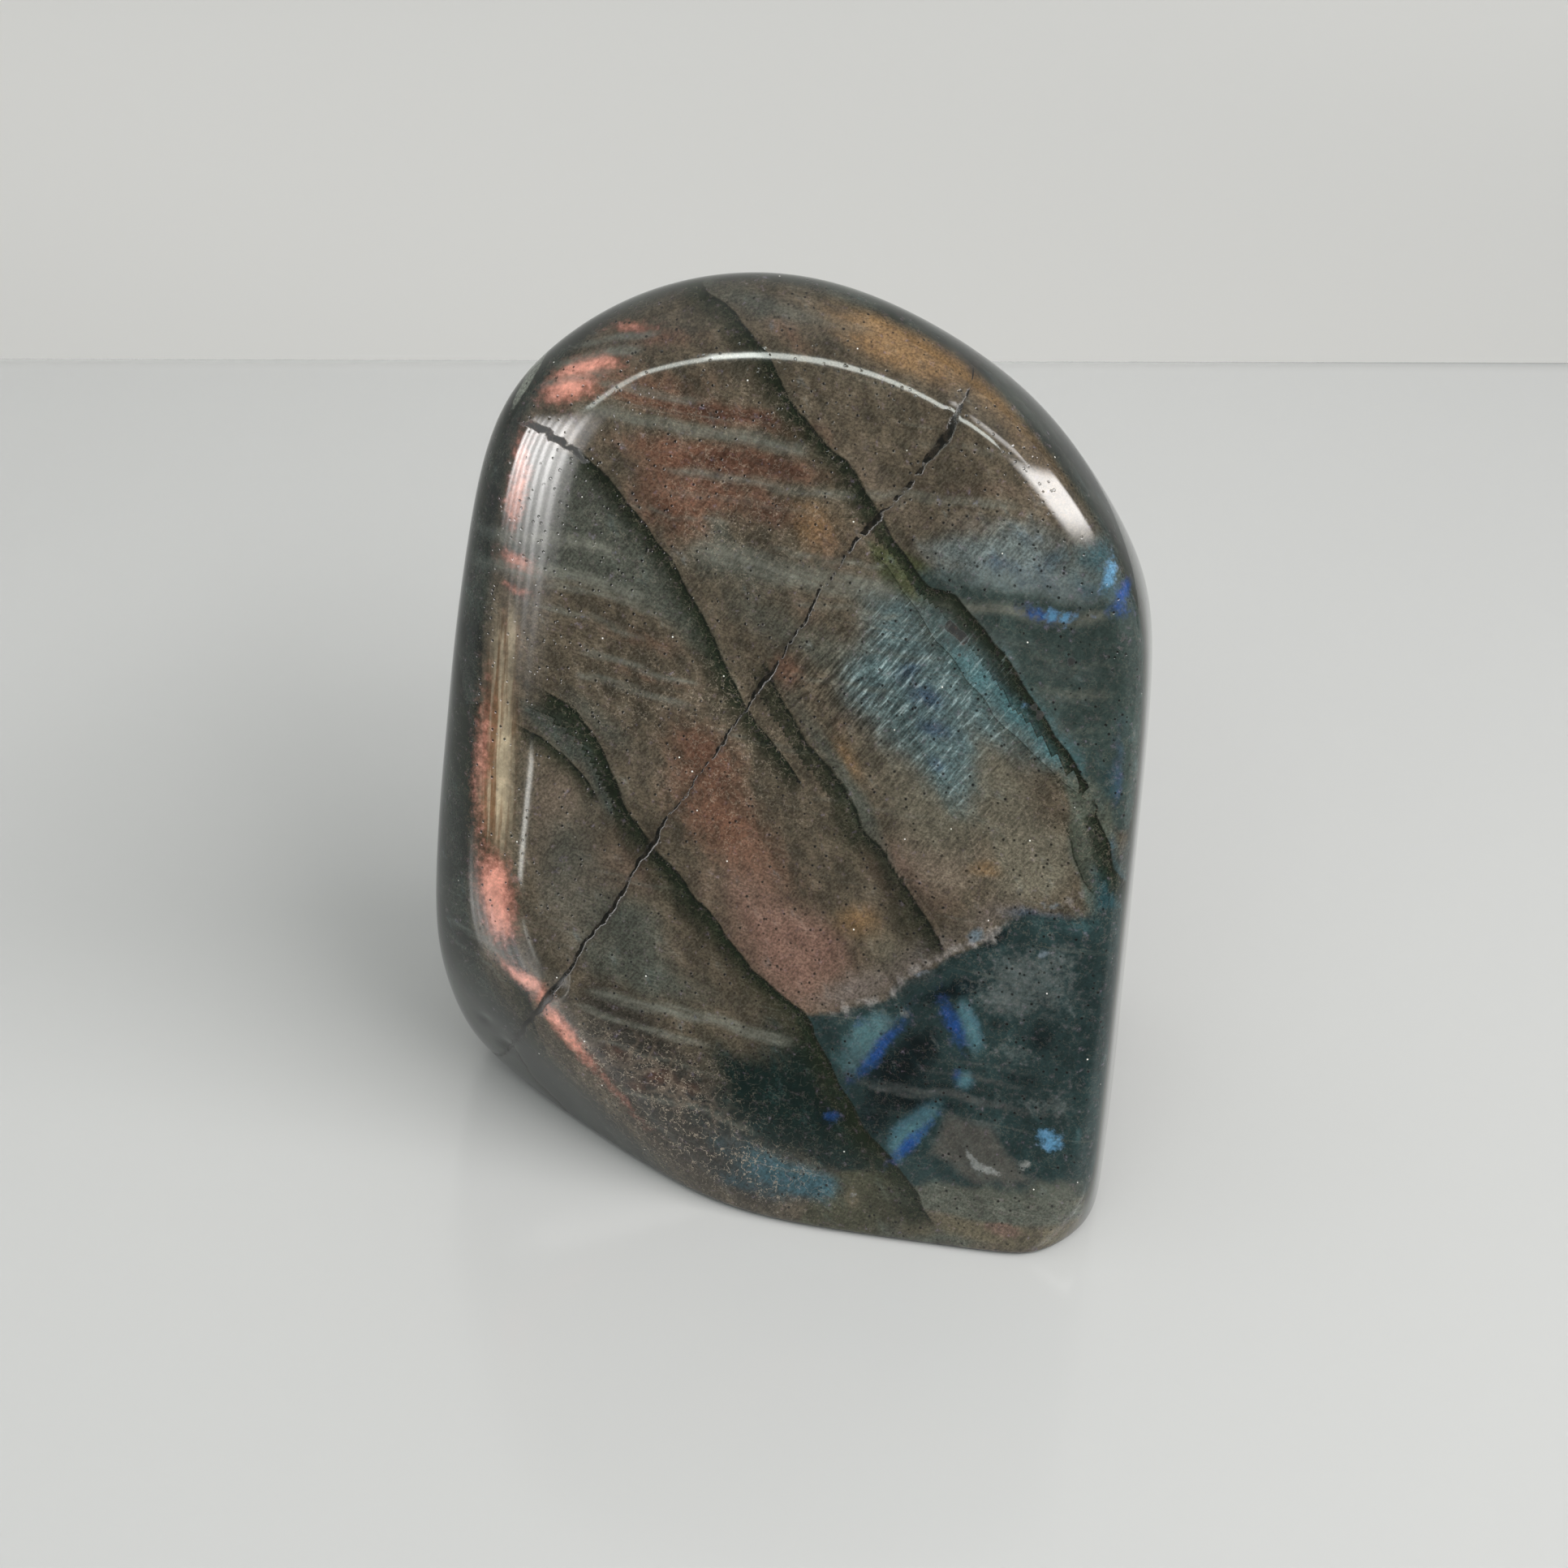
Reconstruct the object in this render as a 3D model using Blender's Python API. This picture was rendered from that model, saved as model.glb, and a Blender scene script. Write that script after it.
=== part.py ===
"""A polished labradorite freeform: one natural stone, sawn flat underneath and ground by hand on every
other side, so that it stands up leaning back a little. Metres, +Z up, with the origin at the middle of
the base. The broad polished front faces -Y."""

import bmesh
import bpy
import numpy as np

MM = 0.001
NAME = "labradorite_stone"

# The stone's heart: the point inside it, this high over the base, that every ground face is measured from.
HEART_HEIGHT = 36.0 * MM

# Each ground face: (name, azimuth, elevation, distance, softness). The azimuth and elevation in degrees
# say where the face looks, with azimuth 0 to the front (-Y) and +90 to the right (+X). The distance in mm
# is from the heart, square to the face. The softness in mm says how wide the wheel rounded its edges.
GROUND_FACES = (
    ("front", -8, 18, 19.5, 2.0),
    ("right side", 80, 1, 39.5, 1.5),
    ("lower left bevel", -40, -22, 38.5, 2.5),
    ("left side", -107, -1, 35.0, 2.0),
    ("left bevel", -48, 14, 34.0, 3.0),
    ("top left", -60, 60, 54.5, 2.5),
    ("top bevel", -8, 51, 44.5, 2.5),
    ("top", 1, 79, 64.0, 3.0),
    ("top right", 77, 64, 58.5, 3.0),
    ("right bevel", 88, 32, 48.0, 3.0),
    ("right shoulder", 93, 57, 54.5, 3.0),
    ("left foot", -109, -68, 45.0, 3.0),
    ("right corner", 44, -22, 56.5, 1.0),
    ("back", 175, 4, 23.0, 4.0),
    ("back top", 172, 37, 43.0, 4.0),
    ("back left", -142, 10, 32.5, 6.0),
    ("back right", 138, 5, 36.0, 6.0),
    ("heel", 178, -38, 43.5, 5.0),
)
FRONT = 0  # the front's place in that list

SEGMENTS = 88  # points around the front, about 3 mm apart on its edge
RINGS = 40  # rows from the middle of the front to the middle of the back
EDGE_RING = 0.4  # the part of the rows that lies on the front, up to its edge
CROWDING = 1.35  # over 1, rows crowd together towards the edge of the front, where the surface turns
SHORTEST_EDGE = 0.3 * MM  # shorter edges, left by the saw cut, are closed up
SOLVER_STEPS = 10
EDGE_STEPS = 30

STONE_COLOUR = (0.13, 0.10, 0.085, 1.0)
STONE_ROUGHNESS = 0.12
GREATEST_SMOOTH_ANGLE = np.radians(40)


def clear_scene():
    for obj in list(bpy.data.objects):
        bpy.data.objects.remove(obj, do_unlink=True)


def ground_faces():
    """The faces as arrays in metres: unit normals, distances from the heart and softnesses."""
    azimuth, elevation, distance, softness = np.array([face[1:] for face in GROUND_FACES], float).T
    azimuth = np.radians(azimuth)
    elevation = np.radians(elevation)
    level = np.cos(elevation)
    normals = np.stack([level * np.sin(azimuth), -level * np.cos(azimuth), np.sin(elevation)], axis=1)
    return normals, distance * MM, softness * MM


def polished_surface(directions):
    """For each unit direction from the heart: the distance to the surface, and the front's share of it.

    A point P is on the surface where the sum over the faces of exp((n . P - d) / s) is 1, with n the
    face's normal, d its distance and s its softness. Far from an edge one face alone makes up the sum, so
    the surface is flat there, and near an edge two faces share it, which rounds the edge off. Newton's
    method finds the place on each ray, starting from the first plane that the ray meets.
    """
    normals, distance, softness = ground_faces()
    facing = directions @ normals.T
    radius = np.where(facing > 1e-3, distance / np.maximum(facing, 1e-3), np.inf).min(axis=1)
    for _ in range(SOLVER_STEPS):
        share = np.exp(np.minimum((radius[:, None] * facing - distance) / softness, 50.0))
        total = share.sum(axis=1)
        slope = (share * facing / softness).sum(axis=1) / total
        radius = radius - np.log(total) / slope
    return radius, share[:, FRONT] / total


def turned_directions(tilt, turn):
    """Unit directions at the angle tilt from the front's normal, turned around it by the angle turn."""
    forward = ground_faces()[0][FRONT]
    right = np.cross(forward, (0.0, 0.0, 1.0))
    right /= -np.linalg.norm(right)
    up = np.cross(forward, right)
    around = np.cos(turn)[:, None] * right + np.sin(turn)[:, None] * up
    return np.cos(tilt)[:, None] * forward + np.sin(tilt)[:, None] * around


def edge_tilt(turn):
    """The tilt at which the front hands over to its neighbours, found by halving the interval."""
    low = np.full_like(turn, np.radians(10))
    high = np.full_like(turn, np.radians(110))
    for _ in range(EDGE_STEPS):
        middle = (low + high) / 2
        on_front = polished_surface(turned_directions(middle, turn))[1] > 0.5
        low = np.where(on_front, middle, low)
        high = np.where(on_front, high, middle)
    return low


def stone_directions(sphere_points):
    """Turns a sphere's own rows and columns so that its pole looks out of the front, and one row lies
    along the front's edge. A row that is a share v of the way from pole to pole gets the tilt
    edge * (1 - (1 - v / EDGE_RING) ^ CROWDING) on the front, and past the edge likewise to the back."""
    x, y, z = sphere_points.T
    turn = np.arctan2(y, x)
    share = np.arccos(np.clip(z, -1.0, 1.0)) / np.pi
    edge = edge_tilt(turn)
    inner = 1 - np.clip(1 - share / EDGE_RING, 0.0, 1.0) ** CROWDING
    outer = np.clip((share - EDGE_RING) / (1 - EDGE_RING), 0.0, 1.0) ** CROWDING
    return turned_directions(edge * inner + (np.pi - edge) * outer, turn)


def grind_stone():
    """A sphere drawn in to the ground faces, then sawn off flat at the base."""
    mesh = bpy.data.meshes.new(NAME)
    bm = bmesh.new()
    bmesh.ops.create_uvsphere(bm, u_segments=SEGMENTS, v_segments=RINGS, radius=1.0)
    directions = stone_directions(np.array([vertex.co for vertex in bm.verts]))
    points = directions * polished_surface(directions)[0][:, None]
    for vertex, point in zip(bm.verts, points):
        vertex.co = point

    everything = bm.verts[:] + bm.edges[:] + bm.faces[:]
    base = (0.0, 0.0, -HEART_HEIGHT)
    cut = bmesh.ops.bisect_plane(bm, geom=everything, plane_co=base, plane_no=(0, 0, -1), clear_outer=True)
    rim = [item for item in cut["geom_cut"] if isinstance(item, bmesh.types.BMEdge)]
    bmesh.ops.dissolve_degenerate(bm, dist=SHORTEST_EDGE, edges=rim)
    bmesh.ops.holes_fill(bm, edges=[edge for edge in bm.edges if edge.is_boundary])
    bmesh.ops.recalc_face_normals(bm, faces=bm.faces)

    places = np.array([vertex.co for vertex in bm.verts])
    middle = (places.min(axis=0) + places.max(axis=0)) / 2
    bmesh.ops.translate(bm, verts=bm.verts, vec=(-middle[0], -middle[1], HEART_HEIGHT))
    bm.to_mesh(mesh)
    bm.free()
    mesh.shade_smooth()
    mesh.set_sharp_from_angle(angle=GREATEST_SMOOTH_ANGLE)
    return mesh


def stone_material():
    material = bpy.data.materials.new("polished labradorite")
    material.use_nodes = True
    shader = material.node_tree.nodes["Principled BSDF"]
    shader.inputs["Base Color"].default_value = STONE_COLOUR
    shader.inputs["Roughness"].default_value = STONE_ROUGHNESS
    shader.inputs["Metallic"].default_value = 0.0
    shader.inputs["Coat Weight"].default_value = 0.5
    return material


def main():
    clear_scene()
    collection = bpy.data.collections.new("polished_labradorite")
    bpy.context.scene.collection.children.link(collection)
    mesh = grind_stone()
    mesh.materials.append(stone_material())
    stone = bpy.data.objects.new(NAME, mesh)
    collection.objects.link(stone)


main()
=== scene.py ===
# %% [markdown]
# # A polished labradorite standing on its sawn base
#
# The object is one natural stone. A saw has cut it flat underneath, and a grinding wheel has rounded all
# its other sides, which are then polished like glass. Under the polish lie copper, green and blue sheets
# of feldspar, dark veins and one open crack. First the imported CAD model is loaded: it is the fixed frame
# that this stone has to stay in.

import bpy
import numpy as np
from mathutils import Matrix


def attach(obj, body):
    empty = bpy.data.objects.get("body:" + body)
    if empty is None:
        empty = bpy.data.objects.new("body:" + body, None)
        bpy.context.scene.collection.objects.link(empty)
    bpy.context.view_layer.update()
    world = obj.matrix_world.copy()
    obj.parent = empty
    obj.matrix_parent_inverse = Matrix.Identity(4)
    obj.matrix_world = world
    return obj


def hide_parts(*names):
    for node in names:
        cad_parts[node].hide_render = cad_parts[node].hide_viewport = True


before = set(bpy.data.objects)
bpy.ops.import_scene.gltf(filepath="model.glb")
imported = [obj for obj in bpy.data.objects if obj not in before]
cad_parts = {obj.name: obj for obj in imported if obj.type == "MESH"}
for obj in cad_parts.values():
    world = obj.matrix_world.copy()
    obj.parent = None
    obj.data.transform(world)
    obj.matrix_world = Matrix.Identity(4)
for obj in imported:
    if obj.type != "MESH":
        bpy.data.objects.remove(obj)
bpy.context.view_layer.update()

MM = 0.001

# %% [markdown]
# ## The ground faces
#
# A lapidary presses the stone to a wheel again and again, and each pass leaves one nearly flat face whose
# edges the next pass softens. So the stone is described as its maker would: a list of faces, each with
# the direction it looks in, its distance from the stone's heart, and how softly its edges are rounded.
# The heart is a point inside the stone, 36 mm over the base. Modelling the form by pushing points about
# would also work, but then no number would say what the stone is.

# %% The faces of the stone
HEART_HEIGHT = 36.0  # mm over the table

# name, azimuth and elevation in degrees (0 looks to the front, -Y, and +90 to the right), distance from
# the heart in mm, softness of the edges in mm
GROUND_FACES = (
    ("front", -8, 18, 19.5, 2.0),
    ("right side", 80, 1, 39.5, 1.5),
    ("lower left bevel", -40, -22, 38.5, 2.5),
    ("left side", -107, -1, 35.0, 2.0),
    ("left bevel", -48, 14, 34.0, 3.0),
    ("top left", -60, 60, 54.5, 2.5),
    ("top bevel", -8, 51, 44.5, 2.5),
    ("top", 1, 79, 64.0, 3.0),
    ("top right", 77, 64, 58.5, 3.0),
    ("right bevel", 88, 32, 48.0, 3.0),
    ("right shoulder", 93, 57, 54.5, 3.0),
    ("left foot", -109, -68, 45.0, 3.0),
    ("right corner", 44, -22, 56.5, 1.0),
    ("back", 175, 4, 23.0, 4.0),
    ("back top", 172, 37, 43.0, 4.0),
    ("back left", -142, 10, 32.5, 6.0),
    ("back right", 138, 5, 36.0, 6.0),
    ("heel", 178, -38, 43.5, 5.0),
    ("sawn base", 0, -90, HEART_HEIGHT, 0.25),
)
FRONT = 0
BASE = len(GROUND_FACES) - 1

azimuth, elevation, face_distance, face_softness = np.array([face[1:] for face in GROUND_FACES], float).T
azimuth = np.radians(azimuth)
elevation = np.radians(elevation)
face_normals = np.stack(
    [np.cos(elevation) * np.sin(azimuth), -np.cos(elevation) * np.cos(azimuth), np.sin(elevation)], axis=1
)
print(len(GROUND_FACES), "faces, the front looks along", face_normals[FRONT].round(3))

# %% [markdown]
# ## From faces to one smooth surface
#
# Each face alone is a plane. The surface of the stone is where a sum over all the faces reaches one, and
# every face adds exp((height over its plane) / softness). In the middle of a face only that face counts,
# so the stone is flat there. Near an edge two faces share the sum, and that rounds the edge off. Newton's
# method finds the place along each ray from the heart, for all rays at once.

# %% The surface along each ray
SOLVER_STEPS = 12
LEAST_FACING = 1e-3  # a ray doesn't meet the plane of a face that looks further away than this
MOST_EXPONENT = 50.0  # keeps the first steps from overflowing


def polished_radius(directions):
    """Distance from the heart to the surface along unit directions, and each face's share of the sum.

    In words: start where the ray meets the first plane, then subtract log(sum) / slope again and again,
    with sum = sum of exp((r d.n - distance) / softness) over the faces.
    """
    facing = directions @ face_normals.T
    ahead = np.maximum(facing, LEAST_FACING)
    planes = np.where(facing > LEAST_FACING, face_distance / ahead, np.inf)
    radius = planes.min(axis=-1)
    for _ in range(SOLVER_STEPS):
        height = (radius[..., None] * facing - face_distance) / face_softness
        share = np.exp(np.minimum(height, MOST_EXPONENT))
        total = share.sum(axis=-1)
        slope = (share * facing / face_softness).sum(axis=-1) / total
        radius = radius - np.log(total) / slope
    return radius, share / total[..., None]


def ray_directions(around, upward):
    """Unit directions with the azimuth around and the elevation upward, both in radians."""
    level = np.cos(upward)
    return np.stack([level * np.sin(around), -level * np.cos(around), np.sin(upward)], axis=-1)


front_radius = polished_radius(ray_directions(azimuth[FRONT], elevation[FRONT]))[0]
print("the front is", round(float(front_radius), 2), "mm from the heart")

# %% [markdown]
# ## The grid of points
#
# A surface made of rows and columns needs a good choice of where they go. The columns run from the middle
# of the base up to the top, and they stand over twice as close on the front, which carries the detail. The
# rows follow the saw cut's edge exactly, so that this crisp edge has no teeth, and they crowd near it.

# %% Columns around the stone
COLUMNS = 440
WALL_ROWS = 198
BASE_ROWS = 27
FRONT_CROWDING = 1.6  # how many more columns a millimetre of the front gets, as a share
FINE_COLUMNS = 2881  # a finer round of points, on which the way around is measured

fine_turn = np.linspace(-np.pi, np.pi, FINE_COLUMNS)
belt_radius, belt_share = polished_radius(ray_directions(fine_turn, np.zeros_like(fine_turn)))
belt_points = ray_directions(fine_turn, np.zeros_like(fine_turn)) * belt_radius[:, None]
belt_steps = np.linalg.norm(np.diff(belt_points, axis=0), axis=1)
belt_weight = 1 + FRONT_CROWDING * (belt_share[1:, FRONT] + belt_share[:-1, FRONT]) / 2
belt_run = np.concatenate([[0.0], np.cumsum(belt_steps * belt_weight)])
column_turn = np.interp(np.arange(COLUMNS) / COLUMNS * belt_run[-1], belt_run, fine_turn)
print("the stone is", round(belt_steps.sum(), 1), "mm around at its heart")


# %% Rows from the base to the top
EDGE_STEPS = 32
FINE_ROWS = 400
BASE_EDGE_CROWDING = 1.2  # over 1, the wall's rows crowd towards the saw cut's edge
BASE_CROWDING = 2.2  # and the base's rows do so more


def base_edge(around):
    """The elevation at which the sawn base hands over to the wall, found by halving an interval."""
    low = np.full_like(around, np.radians(-89))
    high = np.full_like(around, np.radians(0))
    for _ in range(EDGE_STEPS):
        middle = (low + high) / 2
        on_base = polished_radius(ray_directions(around, middle))[1][:, BASE] > 0.5
        low = np.where(on_base, middle, low)
        high = np.where(on_base, high, middle)
    return low


edge_angle = base_edge(column_turn)
fine_share = np.linspace(0, 1, FINE_ROWS)
fine_angle = edge_angle[:, None] + fine_share * (np.pi / 2 - edge_angle[:, None])
fine_rays = ray_directions(column_turn[:, None], fine_angle)
fine_points = fine_rays * polished_radius(fine_rays)[0][..., None]
fine_run = np.cumsum(np.linalg.norm(np.diff(fine_points, axis=1), axis=2), axis=1)
fine_run = np.concatenate([np.zeros((COLUMNS, 1)), fine_run], axis=1)
wall_share = (np.arange(WALL_ROWS) / WALL_ROWS) ** BASE_EDGE_CROWDING
wall_angle = np.stack(
    [np.interp(wall_share * run[-1], run, angle) for run, angle in zip(fine_run, fine_angle)]
)
base_share = 1 - (1 - np.arange(1, BASE_ROWS + 1) / (BASE_ROWS + 1)) ** BASE_CROWDING
base_radius = HEART_HEIGHT / np.tan(-edge_angle)
base_angle = -np.arctan2(HEART_HEIGHT, base_share * base_radius[:, None])
row_angle = np.concatenate([base_angle, wall_angle], axis=1)
shortest_way = float(fine_run[:, -1].min())
print(row_angle.shape[1], "rows, and the shortest way up the wall is", round(shortest_way, 1), "mm")

# %% Points and normals on the surface
rays = ray_directions(column_turn[:, None], row_angle).reshape(-1, 3)
rays = np.concatenate([rays, [(0.0, 0.0, -1.0), (0.0, 0.0, 1.0)]])
radius, shares = polished_radius(rays)
points = rays * radius[:, None]
normals = (shares / face_softness) @ face_normals
normals /= np.linalg.norm(normals, axis=1, keepdims=True)
box_middle = (points.min(axis=0) + points.max(axis=0)) / 2
heart = np.array([-box_middle[0], -box_middle[1], HEART_HEIGHT])
print("the heart is at", heart.round(2), "mm in the part's frame")

# %% [markdown]
# ## A map of the front
#
# The veins, the crack and the coloured zones are placed on the polished front, in millimetres from the
# point nearest the heart: first to the right, then up along the face. They are sheets inside the stone,
# so they run on through it, and the same two numbers place them on the bevels, the sides and the back.
# Past the bevels the sheets lean over a little, so that the back isn't a copy of the front.

# %% Every point's place on the map
SHEET_LEAN = (0.45, 0.25)  # mm that the sheets drift per mm of depth, past the bevels
BEVEL_DEPTH = 14.0

front_normal = face_normals[FRONT]
face_right = np.cross((0.0, 0.0, 1.0), front_normal)
face_right /= np.linalg.norm(face_right)
face_up = np.cross(front_normal, face_right)
depth = points @ front_normal - face_distance[FRONT]
past_bevel = np.minimum(depth + BEVEL_DEPTH, 0.0)
map_x = points @ face_right - SHEET_LEAN[0] * past_bevel
map_y = points @ face_up - SHEET_LEAN[1] * past_bevel
lean_right = normals @ face_right
lean_up = normals @ face_up
lean_out = normals @ front_normal
on_front = shares[:, FRONT]
front_x, front_y = map_x[on_front > 0.5], map_y[on_front > 0.5]
print("the front spans", round(np.ptp(front_x), 1), "x", round(np.ptp(front_y), 1), "mm")

# %% [markdown]
# ## Drawing on the map
#
# Three kinds of drawing are enough for this stone: a line through points, an area inside an outline, and
# soft oval spots. Each is worked out for every point of the mesh at once, as a distance or a strength, and
# slow waves bend them all a little. An image would do it too, but it would have only its own pixels.


# %% Tools for drawing on the map
def ramp(value, low, high):
    """0 below low, 1 above high, and a smooth S between them: t * t * (3 - 2 t)."""
    t = np.clip((value - low) / (high - low), 0.0, 1.0)
    return t * t * (3 - 2 * t)


def wander(x, y, size, reach):
    """Shifts map places by slow waves, so that no drawn line is straight: sums of three sines."""
    shift_x = np.sin(y / size + 1.3) + 0.6 * np.sin((x + y) / size * 1.7) + 0.4 * np.sin(y / size * 3.1 + 0.5)
    shift_y = np.sin(x / size + 0.4) + 0.6 * np.sin((x - y) / size * 1.9) + 0.4 * np.sin(x / size * 2.7 + 2.1)
    return x + reach * shift_x / 2, y + reach * shift_y / 2


def line_gap(x, y, line):
    """Signed distance from map places to a line through points, positive on its upper right, and how far
    along the line the nearest place is, counted in points. Each piece's nearest place is worked out."""
    gap = np.full(x.shape, np.inf)
    side = np.zeros(x.shape)
    run = np.zeros(x.shape)
    for index, (start, end) in enumerate(zip(line[:-1], line[1:])):
        step = np.subtract(end, start)
        share = ((x - start[0]) * step[0] + (y - start[1]) * step[1]) / (step @ step)
        share = np.clip(share, 0.0, 1.0)
        off_x = x - start[0] - share * step[0]
        off_y = y - start[1] - share * step[1]
        distance = np.hypot(off_x, off_y)
        nearer = distance < gap
        gap = np.where(nearer, distance, gap)
        side = np.where(nearer, off_y * step[0] - off_x * step[1], side)
        run = np.where(nearer, index + share, run)
    return np.where(side >= 0, gap, -gap), run


def zone_reach(x, y, outline):
    """Signed distance in mm from the edge of a zone, positive inside. A place is inside where a ray to
    its right crosses the outline an odd number of times."""
    closed = [*outline, outline[0]]
    gap = np.abs(line_gap(x, y, closed)[0])
    inside = np.zeros(x.shape, bool)
    for (x0, y0), (x1, y1) in zip(closed[:-1], closed[1:]):
        crossing = (y0 > y) != (y1 > y)
        rise = y1 - y0 if y1 != y0 else 1e-9
        inside ^= crossing & (x < x0 + (y - y0) / rise * (x1 - x0))
    return np.where(inside, gap, -gap)


def patches(x, y, spots):
    """The sum of soft oval spots, each (x, y, half length, half width, turn in degrees, strength), whose
    strength falls off as exp(-(distance in half sizes) ^ 2)."""
    total = np.zeros(x.shape)
    for spot_x, spot_y, long_half, short_half, turn, strength in spots:
        cosine, sine = np.cos(np.radians(turn)), np.sin(np.radians(turn))
        along = ((x - spot_x) * cosine + (y - spot_y) * sine) / long_half
        across = ((y - spot_y) * cosine - (x - spot_x) * sine) / short_half
        total += strength * np.exp(-along**2 - across**2)
    return total


LINE_WAVES = (2.2, 0.35)  # size and reach in mm
marks = {}  # every finished map of the stone, by name
waved_x, waved_y = wander(map_x, map_y, *LINE_WAVES)
print("waves move the lines by up to", round(float(np.abs(waved_x - map_x).max()), 2), "mm")

# %% [markdown]
# ## Dark veins
#
# Olive and dark green veins cross the face from the upper left to the lower right. Most have one sharp
# edge, like a crease in glass, and fade on the other side. So the map of a vein is a signed distance from
# its sharp edge, and the finish turns that into a crisp line and a soft body later. A drawn picture of
# the veins would blur when it comes close; a distance never does.

# %% The veins
# name, width of the body in mm, darkness, side it fades to (+1 upper right, -1 lower left), its points
VEINS = (
    ("long", 2.3, 0.9, -1, ((-13, 57), (-10, 54.5), (-6.5, 52), (-3, 48.5), (1, 43.5), (6, 39), (10, 33.5),
                             (13.5, 29.5), (16, 27.5), (18.5, 26.5), (21.5, 23), (26, 18), (30, 13.5),
                             (33, 9), (35.5, 3.5), (37, 0), (40, -5))),
    ("hair", 0.9, 0.45, -1, ((8.5, 31), (11, 29), (14, 25.5), (16.5, 22), (19.5, 19), (23.5, 14.5), (28, 11),
                             (32, 8), (34.5, 6))),
    ("middle", 2.0, 0.9, -1, ((-22, 38), (-20.5, 37), (-16.5, 33.5), (-13, 30), (-10.5, 27.5),
                              (-8.5, 23.5), (-6, 19.5), (-4, 16), (-2, 13), (1.5, 9), (5.5, 4))),
    ("twin", 3.2, 0.75, -1, ((-1, 19), (1, 15.5), (3, 12), (5.5, 8.5), (8.5, 5.5), (11, 1.5), (14, -1.5),
                            (17, -5.5), (19.5, -9), (21, -11.5))),
    ("twin edge", 1.2, 0.3, 1, ((14, -1), (16.5, -4), (19, -7), (22, -11))),
    ("left", 1.6, 0.8, -1, ((-36, 7), (-34, 8.5), (-29.5, 10), (-25, 8), (-21, 6), (-18, 3), (-16, 0.5))),
    ("great", 2.6, 1.0, -1, ((-24.5, 13), (-20.5, 11), (-18, 8), (-16, 5), (-13.5, 0.5), (-10.5, -3),
                             (-6.5, -7.5), (-3, -11), (1, -15), (6, -19), (8, -22), (10.5, -26), (13.5, -31),
                             (17, -34.5), (20, -38), (23, -43))),
    ("faint", 1.4, 0.3, -1, ((13.5, 17.5), (14.5, 13.5), (17, 9.5), (21.5, 3.5), (23, -1), (25.5, -4.5))),
    ("right", 1.4, 0.5, 1, ((30.5, 6.5), (32.5, 2.5), (34, -1.5), (36, -3.5))),
    ("back one", 2.6, 0.9, -1, ((-50, 34), (-43, 28), (-37, 22), (-33, 12), (-31, 2), (-26, -12),
                                (-20, -36))),
    ("back two", 1.9, 0.8, -1, ((36, 30), (44, 18), (50, 4), (58, -10), (66, -28))),
)
VEIN_REACH = 4.5  # mm, how far from its edge a vein is felt
VEIN_END = 0.7  # how much of the first and of the last piece of its line a vein takes to fade
WIDEST_GAP = 5  # in widths of the vein, past which the distance isn't needed

nearest_vein = np.full(len(points), np.inf)
vein_gap = np.zeros(len(points))
vein_near = np.zeros(len(points))
for name, width, darkness, fades_to, line in VEINS:
    gap, run = line_gap(waved_x, waved_y, line)
    ends = ramp(run, 0.0, VEIN_END) * ramp(len(line) - 1 - run, 0.0, VEIN_END)
    nearer = np.abs(gap) < nearest_vein
    nearest_vein = np.where(nearer, np.abs(gap), nearest_vein)
    vein_gap = np.where(nearer, gap * fades_to / width, vein_gap)
    vein_near = np.where(nearer, darkness * ends * np.exp(-((gap / VEIN_REACH) ** 4)), vein_near)
marks["vein_gap"] = np.clip(vein_gap, -WIDEST_GAP, WIDEST_GAP)
marks["vein_near"] = vein_near
print(len(VEINS), "veins reach", round(100 * (vein_near > 0.3).mean(), 1), "% of the stone")

# %% [markdown]
# ## The open crack
#
# One crack runs right across the stone, black and open in places and a hairline in others. Its half
# widths are given point by point, and the finish compares them with the distance. The crack is also a
# real groove, so the points beside it are moved in, a little further down.

# %% The crack
# x, y and half width in mm
CRACK = (
    (17.5, 50, 0.08), (17.5, 48.5, 0.08), (17, 45.5, 0.25), (15.5, 42, 0.5), (14, 39.5, 0.25),
    (12, 36.5, 0.3), (10.5, 34.7, 0.08), (9.5, 33.5, 0.3), (8, 31.5, 0.25), (6.5, 29, 0.08),
    (4.5, 25.5, 0.11), (3, 22, 0.14), (1, 18.5, 0.08), (0, 16.5, 0.28), (-2, 13, 0.1), (-4, 9.5, 0.14),
    (-5.5, 7, 0.07), (-7, 4, 0.07), (-9.5, 0.5, 0.1), (-11, -3, 0.28), (-13, -6.5, 0.14),
    (-14.5, -10, 0.26), (-16.5, -13, 0.2), (-18.5, -16.5, 0.2), (-20, -19.5, 0.24), (-22, -22.5, 0.45),
    (-23.5, -24.8, 0.3), (-24.9, -27, 0.3), (-26.5, -30.3, 0.16), (-29.3, -34, 0.2), (-35, -42, 0.12),
)
SIDE_CRACK = ((-26.5, -30.3), (-24.7, -34.4), (-20.5, -39))
SIDE_CRACK_HALF = 0.07
CRACK_WAVES = (0.8, 0.25)  # size and reach in mm
CRACK_LEAST = 0.03  # mm, added to the half width, so that the hairlines don't vanish
CRACK_FELT = 4.0  # mm, past which the distance isn't needed

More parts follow.
